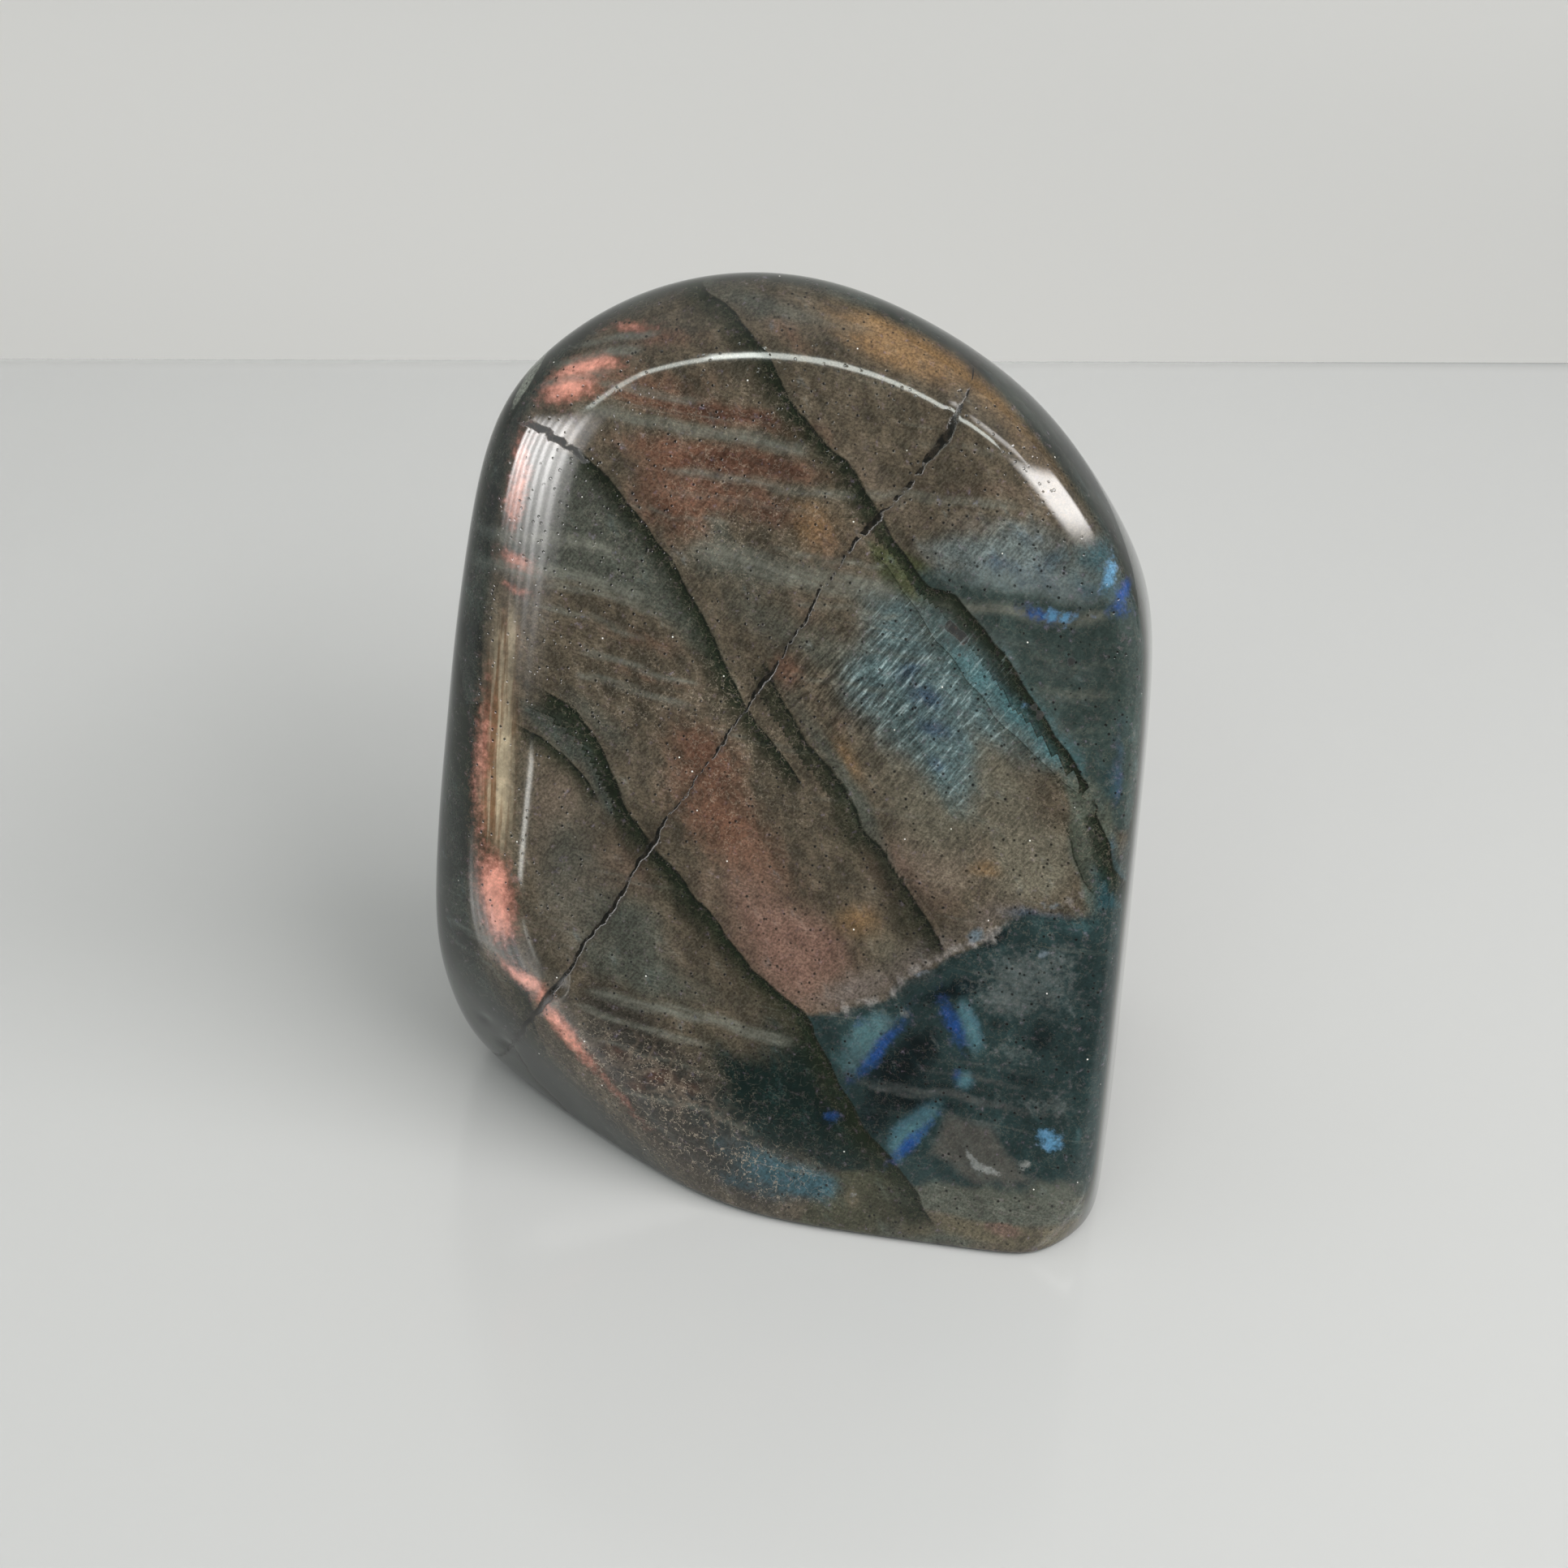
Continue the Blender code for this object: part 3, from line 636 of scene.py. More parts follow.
for name, _, _, _, _, _, shape in ZONES:
    if len(shape[0]) == 2:
        reach = np.clip(zone_reach(waved_x, waved_y, shape), -DEEPEST, DEEPEST)
        marks[name] = reach * facing - DEEPEST * (1 - facing)
    else:
        marks[name] = patches(waved_x, waved_y, shape) * facing
print(len(ZONES), "zones:", ", ".join(zone[0] for zone in ZONES))

# %% [markdown]
# ## Flashes along the left edge
#
# On the rounded left edge the sheets in the crystal catch the light, and copper turns to salmon, red and
# cream. These flashes are painted light: a sheen, with part of a window's reflection in it, laid into the
# colour. The flash follows the edge exactly, so its map is a set of spots times a band of the edge: the
# sideways lean of the surface, which is 0 on the flat front and grows to 1 on the side.

# %% The painted flashes
# painted sheen: salmon and red light where the rounded edge catches it
PAINTED_SALMON_FLASH = ((-20.5, 46, 4.4, 0.9, 8, 1.2), (-23.3, 43.6, 4.2, 1.5, 8, 1.4), (-27.4, 36.5, 1.2, 3.2, 0, 1.2),
          (-27.7, 31.5, 1.1, 3.0, 0, 1.1), (-27, 25.4, 2.4, 0.9, -8, 1.3), (-27, 22.8, 2.0, 0.5, -8, 0.8),
          (-30.2, 4, 1.2, 9, 0, 1.1), (-27.8, -9, 2.0, 3, 0, 1.3), (-26.8, -13, 2.0, 2.8, 0, 1.3),
          (-24.3, -19.4, 3.2, 0.8, -28, 1.3), (-19, -25.5, 6, 0.9, -50, 1.3), (-11, -34, 5.5, 0.6, -50, 0.8),
          (-17, 49.8, 3.5, 0.6, 8, 0.7))
# painted sheen and reflection: the cream flash on the rounded edge
PAINTED_CREAM_FLASH = ((-28.2, 9, 2.2, 9, 2, 1.3), (-28, -1, 2.0, 5, 0, 1.2), (-27.2, 18.5, 1.4, 3, 0, 0.5))
# painted highlight: a pale sliver where a small facet at the top left catches the light
PAINTED_LENS_HIGHLIGHT = ((-27.6, 43.8, 4.4, 0.6, 66, 1.2),)
EDGE_LEAN = 0.28  # the lean at which a flash is brightest
EDGE_WIDTH = 0.17
edge_lean = np.hypot(lean_right, np.minimum(lean_up, 0))
edge_band = np.exp(-(((edge_lean - EDGE_LEAN) / EDGE_WIDTH) ** 2)) * (lean_right < 0)
marks["salmon"] = patches(waved_x, waved_y, PAINTED_SALMON_FLASH) * edge_band
marks["cream"] = patches(waved_x, waved_y, PAINTED_CREAM_FLASH) * edge_band
marks["lens"] = patches(map_x, map_y, PAINTED_LENS_HIGHLIGHT)
print("the flashes cover", round(100 * float((marks["salmon"] > 0.4).mean()), 2), "% of the stone")

# %% [markdown]
# ## Where the fine texture shows
#
# Pale fibres, silky hatching and a net of copper lines show in some places only, so each has a map of
# soft spots too. One more map says where the grain is calm: in the dark teal zones, on the sides and in
# the flashes, where the stone looks smooth.

# %% Fibres, hatching, the net and calm places
FIBRES = (
    (-8, -33, 10, 6, -30, 1.0), (2, -38, 7, 3, -10, 1.0), (-12, -27, 8, 3, -10, 0.8), (-4, 32, 9, 6, 0, 0.6),
    (-2, 5, 8, 8, 0, 0.5), (-12, 13, 10, 5, 0, 0.6), (28, 2, 8, 8, 0, 0.4), (-8, 42, 10, 4, 0, 0.5),
)
HATCH = (
    (14, 18, 8, 7, -40, 1.0), (9, 14, 7, 5, -40, 0.6), (21, 33, 9, 3, 0, 0.7), (20, 5, 10, 5, -60, 0.5),
    (-5, 33, 16, 8, 0, 0.4), (5, 16, 6, 6, 0, 0.6),
)
NET = (
    (-11, -27, 6, 3, -18, 1.0), (-5, -31, 5, 2.2, -25, 0.7), (-6, 40, 10, 4, 0, 0.4),
    (-8, 33, 8, 4, -20, 0.3),
)
marks["fibres"] = patches(map_x, map_y, FIBRES)
marks["hatch"] = patches(map_x, map_y, HATCH)
marks["mesh"] = patches(map_x, map_y, NET)

FLASH_CALM = 1.4  # over 1, so that the grain is calmest in the flashes
painted_flash_share = ramp(marks["salmon"] + marks["cream"], 0.1, 0.6)
quiet = np.maximum(ramp(marks["teal"], -1, 1), ramp(marks["deep"], -1, 1))
marks["calm"] = np.maximum.reduce([quiet, 1 - facing, FLASH_CALM * painted_flash_share])
print(len(FIBRES) + len(HATCH) + len(NET), "spots of fine texture")

# %% [markdown]
# ## Colour on the back and the sides
#
# Nothing of the back shows from the front. It is made like the rest: a dark body with a dim copper sheen
# on four patches and a blue-green one on three, where the same sheets would come out.

# %% Dim sheen on the back
BACK_LEAN = (-0.1, 0.35)  # the sheen is full below the first lean and gone above the second
BACK_COPPER = (
    (10, 38, 16, 7, -30, 0.9), (38, -4, 12, 14, -40, 0.8), (-30, 4, 9, 16, -20, 0.6),
    (62, 10, 12, 20, 0, 0.6),
)
BACK_BLUE = ((26, 12, 12, 5, -35, 0.9), (6, 0, 8, 10, 30, 0.7), (44, 26, 9, 5, -30, 0.8))
turned_away = 1 - ramp(lean_out, *BACK_LEAN)
marks["back copper"] = patches(waved_x, waved_y, BACK_COPPER) * turned_away
marks["back blue"] = patches(waved_x, waved_y, BACK_BLUE) * turned_away
print(len(BACK_COPPER), "copper and", len(BACK_BLUE), "blue patches on the back and the sides")

# %% [markdown]
# ## A place along the layers
#
# The pale layers dip to the right and sway a little. The finish later splits them into threads, and for
# that it needs to know how far along and how far across the layers each point is. That makes a second map,
# turned by the dip and bent by two sines.

# %% Along and across the layers
LAYER_DIP = np.radians(-6.0)
along = map_x * np.cos(LAYER_DIP) + map_y * np.sin(LAYER_DIP)
across = map_y * np.cos(LAYER_DIP) - map_x * np.sin(LAYER_DIP)
across = across + 0.7 * np.sin(along / 9.0 + 0.7) + 0.35 * np.sin(along / 4.1)
layer_place = np.stack([along, across, depth], axis=1)
map_place = np.stack([map_x, map_y, depth], axis=1)
print("the layers run", round(float(np.ptp(along))), "mm along and", round(float(np.ptp(across))), "mm up")

# %% [markdown]
# ## Real relief
#
# The polish is nearly perfect, but not quite. The crack is a groove, a black inclusion has left a few
# pits, and small chips have broken out where the crack meets the edge. They are moved points and not only
# a bump in the finish. All of them go inwards, because polishing never adds stone.

# %% Groove, pits and chips
PITS = (
    (18.5, 23, 1.0, 0.7, 30, 0.10), (17.6, 24, 0.5, 0.5, 0, 0.08), (19.8, 22.3, 0.6, 0.4, 0, 0.08),
    (27.7, 16, 0.35, 0.9, 0, 0.08), (-20.3, -19.8, 1.1, 0.8, 50, 0.22), (-23.5, -24.5, 0.9, 0.6, 40, 0.15),
    (-27.5, -30.5, 1.2, 0.9, 40, 0.25), (-29.8, -27.5, 0.9, 0.7, 20, 0.15),
)
WAVE_DEPTH = 0.035  # mm, the hand-held grinding leaves long flat waves
WAVE_TURNS = (0.19, 0.11, 0.23)  # radians per mm along x, y and z
WAVE_BENDS = (0.05, 0.16, -0.09)
GROOVE_DEPTH = 0.3  # as a share of the crack's half width

groove_half = 0.3 + 0.5 * crack_half  # mm, so that the groove reaches past the crack's rim
groove = GROOVE_DEPTH * crack_half * np.exp(-((crack_gap / groove_half) ** 2))
pits = patches(map_x, map_y, PITS) * facing
wave = np.sin(points @ WAVE_TURNS + 2 * np.sin(points @ WAVE_BENDS))
waves = WAVE_DEPTH * (0.5 + 0.5 * wave)
off_base = 1 - ramp(shares[:, BASE], 0.0, 0.3)
relief = (groove + pits + waves) * off_base
places = (points - normals * relief[:, None] + heart) * MM
print("deepest relief:", round(float(relief.max()), 2), "mm")

# %% [markdown]
# ## The mesh
#
# Four neighbours on the grid make one face, and the base and the top are closed with triangles round one
# point. The maps go along as attributes: numbers that every point of the mesh carries, which the material
# can read and which move with the stone.

# %% Build the stone
rows = row_angle.shape[1]
cell = np.arange(COLUMNS * rows).reshape(COLUMNS, rows)
following = np.roll(cell, -1, axis=0)
quads = np.stack([cell[:, :-1], following[:, :-1], following[:, 1:], cell[:, 1:]], axis=-1).reshape(-1, 4)
base_point, top_point = COLUMNS * rows, COLUMNS * rows + 1
base_fan = np.stack([following[:, 0], cell[:, 0], np.full(COLUMNS, base_point)], axis=1)
top_fan = np.stack([cell[:, -1], following[:, -1], np.full(COLUMNS, top_point)], axis=1)

stone_mesh = bpy.data.meshes.new("polished_stone")
stone_mesh.from_pydata(places.tolist(), [], quads.tolist() + base_fan.tolist() + top_fan.tolist())
stone_mesh.shade_smooth()
for mark, values in marks.items():
    stone_mesh.attributes.new(mark, "FLOAT", "POINT").data.foreach_set("value", values.astype(np.float32))
for mark, values in (("map_place", map_place), ("layer_place", layer_place)):
    attribute = stone_mesh.attributes.new(mark, "FLOAT_VECTOR", "POINT")
    attribute.data.foreach_set("vector", values.astype(np.float32).ravel())
stone_mesh.validate()
stone = bpy.data.objects.new("polished_stone", stone_mesh)
bpy.context.scene.collection.objects.link(stone)
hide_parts("labradorite_stone")
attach(stone, "root")
triangles = sum(len(polygon.vertices) - 2 for polygon in stone_mesh.polygons)
print("the stone has", triangles, "triangles")


# %% [markdown]
# ## A short way to write shader nodes
#
# A material is a chain of small nodes. Written out one by one they hide the idea, so a few helpers add a
# node and wire it in one line. Each helper returns the node's output, and the next helper takes it in. A
# lamp and the room around the stone have nodes too, and they are written with the same helpers.

# %% Helpers for nodes
class Nodes:
    """Short ways to add nodes to a material, a lamp or a world. An input is a number, a tuple or a
    node's output."""

    def __init__(self, owner):
        owner.use_nodes = True
        self.tree = owner.node_tree

    def feed(self, socket, value):
        """Wires a node's output into a socket, or sets the socket to a plain value."""
        if isinstance(value, bpy.types.NodeSocket):
            self.tree.links.new(value, socket)
        else:
            socket.default_value = value

    def add(self, kind, inputs, output=0, **settings):
        """A new node of a kind, with its settings and inputs, as the output that is asked for."""
        node = self.tree.nodes.new(kind)
        for name, value in settings.items():
            setattr(node, name, value)
        for socket, value in inputs.items():
            self.feed(node.inputs[socket], value)
        return node.outputs[output]

    def mark(self, name, output="Fac"):
        """A map that the mesh carries: Fac for a number, Vector for a place."""
        return self.add("ShaderNodeAttribute", {}, output, attribute_name=name)

    def math(self, operation, *values):
        """One sum on numbers, such as ADD or MULTIPLY."""
        return self.add("ShaderNodeMath", dict(enumerate(values)), operation=operation)

    def scaled(self, value, factor, offset):
        """value * factor + offset."""
        return self.math("MULTIPLY_ADD", value, factor, offset)

    def smooth(self, value, low, high, floor=0.0):
        """floor up to low and 1 from high on, with a smooth step between them. low may be over high."""
        inputs = {0: value, 1: low, 2: high, 3: floor, 4: 1.0}
        return self.add("ShaderNodeMapRange", inputs, interpolation_type="SMOOTHSTEP", clamp=True)

    def coordinate(self, place, axis):
        """One number of a place: 0 for x, 1 for y and 2 for z."""
        return self.add("ShaderNodeSeparateXYZ", {0: place}, axis)

    def stretched(self, place, scales):
        """A place times scales. A pattern read there is drawn out by 1 / scale along each axis."""
        return self.add("ShaderNodeVectorMath", {0: place, 1: scales}, operation="MULTIPLY")

    def turned(self, place, degrees):
        """A place turned about z, which looks out of the stone's map."""
        inputs = {"Vector": place, "Angle": float(np.radians(degrees))}
        return self.add("ShaderNodeVectorRotate", inputs, rotation_type="Z_AXIS")

    def noise(self, place, size, detail=2.0, roughness=0.5):
        """Cloudy values from 0 to 1, with clouds about size mm across."""
        inputs = {"Vector": place, "Scale": 1.0 / size, "Detail": detail, "Roughness": roughness}
        return self.add("ShaderNodeTexNoise", inputs, "Fac")

    def cells(self, place, size, feature="DISTANCE_TO_EDGE"):
        """Random cells about size mm across: the distance to a cell's edge, or with F1 to its middle."""
        inputs = {"Vector": place, "Scale": 1.0 / size}
        return self.add("ShaderNodeTexVoronoi", inputs, "Distance", feature=feature)

    def blend(self, share, first, second, how="MIX"):
        """The first colour where share is 0 and the second where it is 1."""
        inputs = {0: share, 6: first, 7: second}
        return self.add("ShaderNodeMix", inputs, 2, data_type="RGBA", blend_type=how, clamp_factor=True)

    def mirrored(self):
        """1 for what a ray meets after a polished surface has mirrored it, and 0 for all else."""
        return self.add("ShaderNodeLightPath", {}, "Is Glossy Ray")


class Finish(Nodes):
    """A new material with its nodes. Its shader is the node that turns colours into light."""

    def __init__(self, name):
        self.material = bpy.data.materials.new(name)
        super().__init__(self.material)
        self.shader = self.tree.nodes["Principled BSDF"]


finish = Finish("polished labradorite")
print("a new material starts with the nodes", [node.name for node in finish.tree.nodes])

# %% [markdown]
# ## The stone's finish
#
# The colours are laid one over another as the stone shows them: dark feldspar, the painted copper sheen
# over most of the front, pale layers, coloured zones, veins, painted flashes, and last the crack and small
# specks. Noise is added to a map before a smooth step cuts it, which gives a crisp edge that is never a
# clean curve.

# %% Places and noises that the finish shares
GROWTH_TURN = 56.0  # degrees; the clouds are drawn out along the veins
GROWTH_STRETCH = (0.5, 1.0, 1.0)

object_place = finish.add("ShaderNodeTexCoord", {}, "Object")
place = finish.stretched(object_place, (1 / MM, 1 / MM, 1 / MM))  # in mm
on_map = finish.mark("map_place", "Vector")
in_layers = finish.mark("layer_place", "Vector")
grown = finish.stretched(finish.turned(on_map, GROWTH_TURN), GROWTH_STRETCH)
noises = {
    "fine": finish.noise(on_map, 0.8, 4.0, 0.65),
    "middling": finish.noise(grown, 1.7, 4.0, 0.62),
    "wide": finish.noise(grown, 4.0, 4.0, 0.55),
}


def broken(mark, low, high, size="middling", reach=0.5):
    """A map cut between low and high, after noise up to half of reach either way has broken its edge."""
    ragged = finish.scaled(noises[size], reach, finish.mark(mark))
    return finish.smooth(finish.math("SUBTRACT", ragged, reach / 2), low, high)


def part_of(value, share):
    """A share of a value: their product."""
    return finish.math("MULTIPLY", value, share)


def count_nodes(step):
    print(step, "done, with", len(finish.tree.nodes), "nodes so far")


count_nodes("places and noises")

# %% [markdown]
# ## Feldspar, copper and the zones
#
# The copper sheen comes from thin sheets in the feldspar, and here it is painted: a colour laid over the
# dark body where the lean says the surface faces the front, and not a second material. It changes slowly
# from dull to bright. The zones of the list are blended over it one after another.

# %% Feldspar and the painted copper sheen
DARK_FELDSPAR = (0.010, 0.014, 0.010, 1)
PALER_FELDSPAR = (0.030, 0.038, 0.030, 1)
# painted sheen: the copper light of the crystal's sheets, laid into the colour between these two
DULL_PAINTED_COPPER_SHEEN = (0.058, 0.050, 0.035, 1)
BRIGHT_PAINTED_COPPER_SHEEN = (0.102, 0.080, 0.054, 1)
DIM_COPPER_SHEEN = (0.070, 0.050, 0.034, 1)
DIM_BLUE_SHEEN = (0.030, 0.075, 0.085, 1)

body = finish.blend(finish.smooth(noises["wide"], 0.35, 0.65), DARK_FELDSPAR, PALER_FELDSPAR)
copper = finish.blend(finish.smooth(noises["middling"], 0.3, 0.7), DULL_PAINTED_COPPER_SHEEN, BRIGHT_PAINTED_COPPER_SHEEN)
back_copper_share = part_of(broken("back copper", 0.2, 1.0, "wide", 1.2), 0.8)
body = finish.blend(back_copper_share, body, DIM_COPPER_SHEEN)
back_blue_share = part_of(broken("back blue", 0.2, 1.1, "wide", 1.2), 0.7)
body = finish.blend(back_blue_share, body, DIM_BLUE_SHEEN)
stone_colour = finish.blend(finish.mark("copper"), body, copper)
count_nodes("feldspar and copper")


# %% Zones of colour, from the lowest to the top
def lay_zones(under, on_top):
    """Blends zones in turn over the colour under them: those that ON_TOP names, or else all the others."""
    for name, colour, low, high, size, reach, _ in ZONES:
        if (name in ON_TOP) == on_top:
            under = finish.blend(broken(name, low, high, size, reach), under, (*colour, 1))
    return under


stone_colour = lay_zones(stone_colour, on_top=False)
count_nodes("lower zones")

# %% [markdown]
# ## Layers, veins and flashes
#
# The drawn layers are split into threads by noise that is stretched far along them. The side and the back
# get threads of the same kind all over. A vein is the smooth step of its signed distance, and its sharp
# edge gets a thin dark line.

# %% Layers
LAYER_OVER_BODY = (0.068, 0.080, 0.070, 1)
LAYER_OVER_COPPER = (0.138, 0.140, 0.115, 1)
THREAD_STRETCH = (0.04, 1.0, 0.06)  # a thread is 25 times as long as it is thick
BUNDLE_STRETCH = (0.03, 1.0, 0.05)
THREAD_SIZE = 0.55  # mm
BUNDLE_SIZE = 2.6

threads = finish.noise(finish.stretched(in_layers, THREAD_STRETCH), THREAD_SIZE, 3.0, 0.6)
bundles = finish.noise(finish.stretched(in_layers, BUNDLE_STRETCH), BUNDLE_SIZE, 2.0, 0.5)
thread_share = finish.scaled(finish.smooth(threads, 0.35, 0.65), 0.45, 0.55)
drawn = part_of(finish.smooth(finish.mark("layers"), 0.12, 0.85), thread_share)
loose = part_of(finish.smooth(threads, 0.55, 0.7), finish.smooth(bundles, 0.52, 0.66))
# where the painted copper sheen lies, the layers are painted lighter too
layer_colour = finish.blend(finish.mark("copper"), LAYER_OVER_BODY, LAYER_OVER_COPPER)
stone_colour = finish.blend(part_of(loose, 0.35), stone_colour, layer_colour)
stone_colour = finish.blend(part_of(drawn, 0.9), stone_colour, layer_colour)
count_nodes("layers")

# %% Veins
VEIN_RAGGED = 0.35  # how far noise moves a vein's edge to and fro, in widths of the vein
VEIN_GREEN = (0.011, 0.016, 0.008, 1)
VEIN_EDGE_BLACK = (0.008, 0.010, 0.006, 1)

vein_place = finish.scaled(noises["middling"], VEIN_RAGGED, finish.mark("vein_gap"))
vein_place = finish.math("SUBTRACT", vein_place, VEIN_RAGGED / 2)
vein_dark = finish.mark("vein_near")
vein_body = part_of(finish.smooth(vein_place, -0.12, 0.0), finish.smooth(vein_place, 1.6, 0.0))
vein_share = part_of(vein_body, finish.smooth(vein_dark, 0.0, 1.0))
stone_colour = finish.blend(vein_share, stone_colour, VEIN_GREEN)
vein_line = finish.smooth(finish.math("ABSOLUTE", vein_place), 0.11, 0.01)
vein_line = part_of(vein_line, finish.smooth(vein_dark, 0.1, 0.7))
stone_colour = finish.blend(part_of(vein_line, 0.8), stone_colour, VEIN_EDGE_BLACK)
stone_colour = lay_zones(stone_colour, on_top=True)
count_nodes("veins and upper zones")

# %% Painted flashes of light on the left edge
# painted sheen and reflection: the flashes are light laid into the colour along the rounded edge
PAINTED_FLASH_RED = (0.40, 0.11, 0.075, 1)
PAINTED_FLASH_PINK = (0.74, 0.33, 0.25, 1)
PAINTED_FLASH_BROWN = (0.20, 0.115, 0.06, 1)
PAINTED_FLASH_CREAM = (0.46, 0.38, 0.26, 1)
LENS_HIGHLIGHT_GREY = (0.17, 0.185, 0.155, 1)
STRAND_STRETCH = (1.0, 0.05, 1.0)  # the cream flash is a bundle of upright strands

between_layers = finish.math("SUBTRACT", 1.0, part_of(drawn, 0.75))
strands = finish.noise(finish.stretched(on_map, STRAND_STRETCH), 0.7, 3.0, 0.6)
cream = finish.blend(finish.smooth(strands, 0.36, 0.6), PAINTED_FLASH_BROWN, PAINTED_FLASH_CREAM)
painted_cream_share = part_of(broken("cream", 0.0, 1.5, "fine", 0.9), between_layers)
stone_colour = finish.blend(painted_cream_share, stone_colour, cream)
painted_salmon_glow = finish.smooth(finish.scaled(finish.mark("salmon"), 0.35, noises["fine"]), 0.45, 1.0)
salmon = finish.blend(painted_salmon_glow, PAINTED_FLASH_RED, PAINTED_FLASH_PINK)
painted_salmon_share = part_of(broken("salmon", 0.05, 1.4, "fine", 1.4), between_layers)
stone_colour = finish.blend(part_of(painted_salmon_share, 0.95), stone_colour, salmon)
# painted highlight of the small facet at the top left
stone_colour = finish.blend(broken("lens", 0.5, 0.8, "fine", 0.2), stone_colour, LENS_HIGHLIGHT_GREY)
count_nodes("flashes")

# %% [markdown]
# ## Fine texture
#
# Under the polish the copper is not smooth. It has curly pale fibres, a silky hatching in the blue haze, a
# craze of small cells and black pepper, and over them a few bright glints and pale hatches that are painted
# highlights. Fibres are the places where a cloudy noise passes through one level, which are always thin
# closed curves. Pepper and the painted glints are the middles of random cells.

# %% Fibres and the net
FIBRE_PALE = (0.30, 0.25, 0.19, 1)
NET_COPPER = (0.150, 0.115, 0.085, 1)
NET_SIZE = 3.0  # mm from side to side of one of the net's cells

fibre_noise = finish.noise(on_map, 1.5, 3.0, 0.65)
fibre_level = finish.math("ABSOLUTE", finish.math("SUBTRACT", fibre_noise, 0.5))
fibre_share = part_of(finish.smooth(fibre_level, 0.018, 0.0), finish.scaled(finish.mark("fibres"), 0.75, 0.1))
stone_colour = finish.blend(fibre_share, stone_colour, FIBRE_PALE)
net_drift = finish.add("ShaderNodeTexNoise", {"Vector": on_map, "Scale": 0.9}, "Color")
net_place = finish.add("ShaderNodeVectorMath", {0: on_map, 1: net_drift}, operation="ADD")
net_line = finish.smooth(finish.cells(net_place, NET_SIZE), 0.12, 0.0)
net_share = part_of(part_of(net_line, finish.mark("mesh")), 0.6)
stone_colour = finish.blend(net_share, stone_colour, NET_COPPER)
count_nodes("fibres and net")

# %% Hatching in the haze, with painted highlights
HATCH_TURN = -55.0  # degrees
HATCH_STRETCH = (0.16, 1.0, 1.0)
HATCH_SIZE = 0.42  # mm
# painted highlights: pale hatches laid into the colour in the blue haze
PAINTED_HATCH_HIGHLIGHT = (0.30, 0.37, 0.37, 1)

hatch_place = finish.stretched(finish.turned(on_map, HATCH_TURN), HATCH_STRETCH)
hatch_noise = finish.noise(hatch_place, HATCH_SIZE, 3.0, 0.6)
in_haze = finish.smooth(finish.mark("haze"), 0.3, 1.0)
painted_hatch_glint = part_of(finish.smooth(hatch_noise, 0.56, 0.68), in_haze)
stone_colour = finish.blend(part_of(painted_hatch_glint, 0.35), stone_colour, PAINTED_HATCH_HIGHLIGHT)
count_nodes("hatching")

# %% [markdown]
# ## Grain
#
# Seen close, the copper is neither sand nor fur. It is silk that lies one way here and another way there,
# with dust between its threads. So two stretched noises take turns from patch to patch, and a round one is
# added to them. The grain only makes the colour lighter or darker, so it is a gain: a factor close to 1.
# Gains of other sizes are multiplied with it, from the craze of cells to clouds that cross half the face.

# %% Silk and dust
SILK_TURNS = (-55.0, 12.0)  # degrees
SILK_STRETCH = (0.3, 1.0, 1.0)
GRAIN_SIZE = 0.26  # mm

silk = []
for silk_turn in SILK_TURNS:
    silk_place = finish.stretched(finish.turned(on_map, silk_turn), SILK_STRETCH)
    silk.append(finish.noise(silk_place, GRAIN_SIZE, 3.0, 0.65))
silk_patch = finish.smooth(noises["middling"], 0.42, 0.58)
silk_both = finish.scaled(finish.math("SUBTRACT", silk[1], silk[0]), silk_patch, silk[0])
dust = finish.noise(place, GRAIN_SIZE, 2.0, 0.65)
grain = finish.smooth(finish.math("ADD", silk_both, dust), 0.74, 1.26)
count_nodes("silk and dust")

# %% Gains of every size
CRAZE_SIZE = 2.2  # mm
BROAD_SIZE = 7.0

hatch_light = finish.scaled(finish.smooth(hatch_noise, 0.35, 0.68), 1.3, -0.6)
hatch_gain = finish.scaled(hatch_light, finish.scaled(finish.mark("hatch"), 0.55, 0.12), 1.0)
craze_gain = finish.scaled(finish.smooth(finish.cells(on_map, CRAZE_SIZE), 0.0, 0.25), -0.14, 1.07)
grain_depth = part_of(finish.scaled(finish.mark("calm"), -0.4, 0.78), finish.scaled(drawn, -0.5, 1.0))
grain_gain = finish.scaled(finish.math("SUBTRACT", grain, 0.5), grain_depth, 1.0)
cloud_gain = finish.scaled(noises["middling"], 0.5, 0.75)
broad_clouds = finish.smooth(finish.noise(grown, BROAD_SIZE, 3.0, 0.6), 0.35, 0.65)
broad_gain = finish.scaled(broad_clouds, 0.34, 0.83)
gain = part_of(part_of(hatch_gain, craze_gain), part_of(part_of(grain_gain, cloud_gain), broad_gain))
gain_colour = finish.add("ShaderNodeCombineColor", {0: gain, 1: gain, 2: gain})
stone_colour = finish.blend(1.0, stone_colour, gain_colour, "MULTIPLY")
count_nodes("gains")

# %% Pepper and painted glints
PEPPER_SIZE = 0.85  # mm from speck to speck
PEPPER_BLACK = (0.006, 0.006, 0.005, 1)
GLINT_SIZE = 3.1
PAINTED_GLINT_WHITE = (0.9, 0.88, 0.82, 1)

pepper_gap = finish.cells(place, PEPPER_SIZE, "F1")
pepper = part_of(finish.smooth(pepper_gap, 0.22, 0.14), finish.smooth(noises["middling"], 0.42, 0.54))
stone_colour = finish.blend(part_of(pepper, 0.85), stone_colour, PEPPER_BLACK)
# painted highlights: small white glints laid into the colour
painted_glint = finish.smooth(finish.cells(place, GLINT_SIZE, "F1"), 0.034, 0.022)
stone_colour = finish.blend(painted_glint, stone_colour, PAINTED_GLINT_WHITE)
count_nodes("pepper and glints")

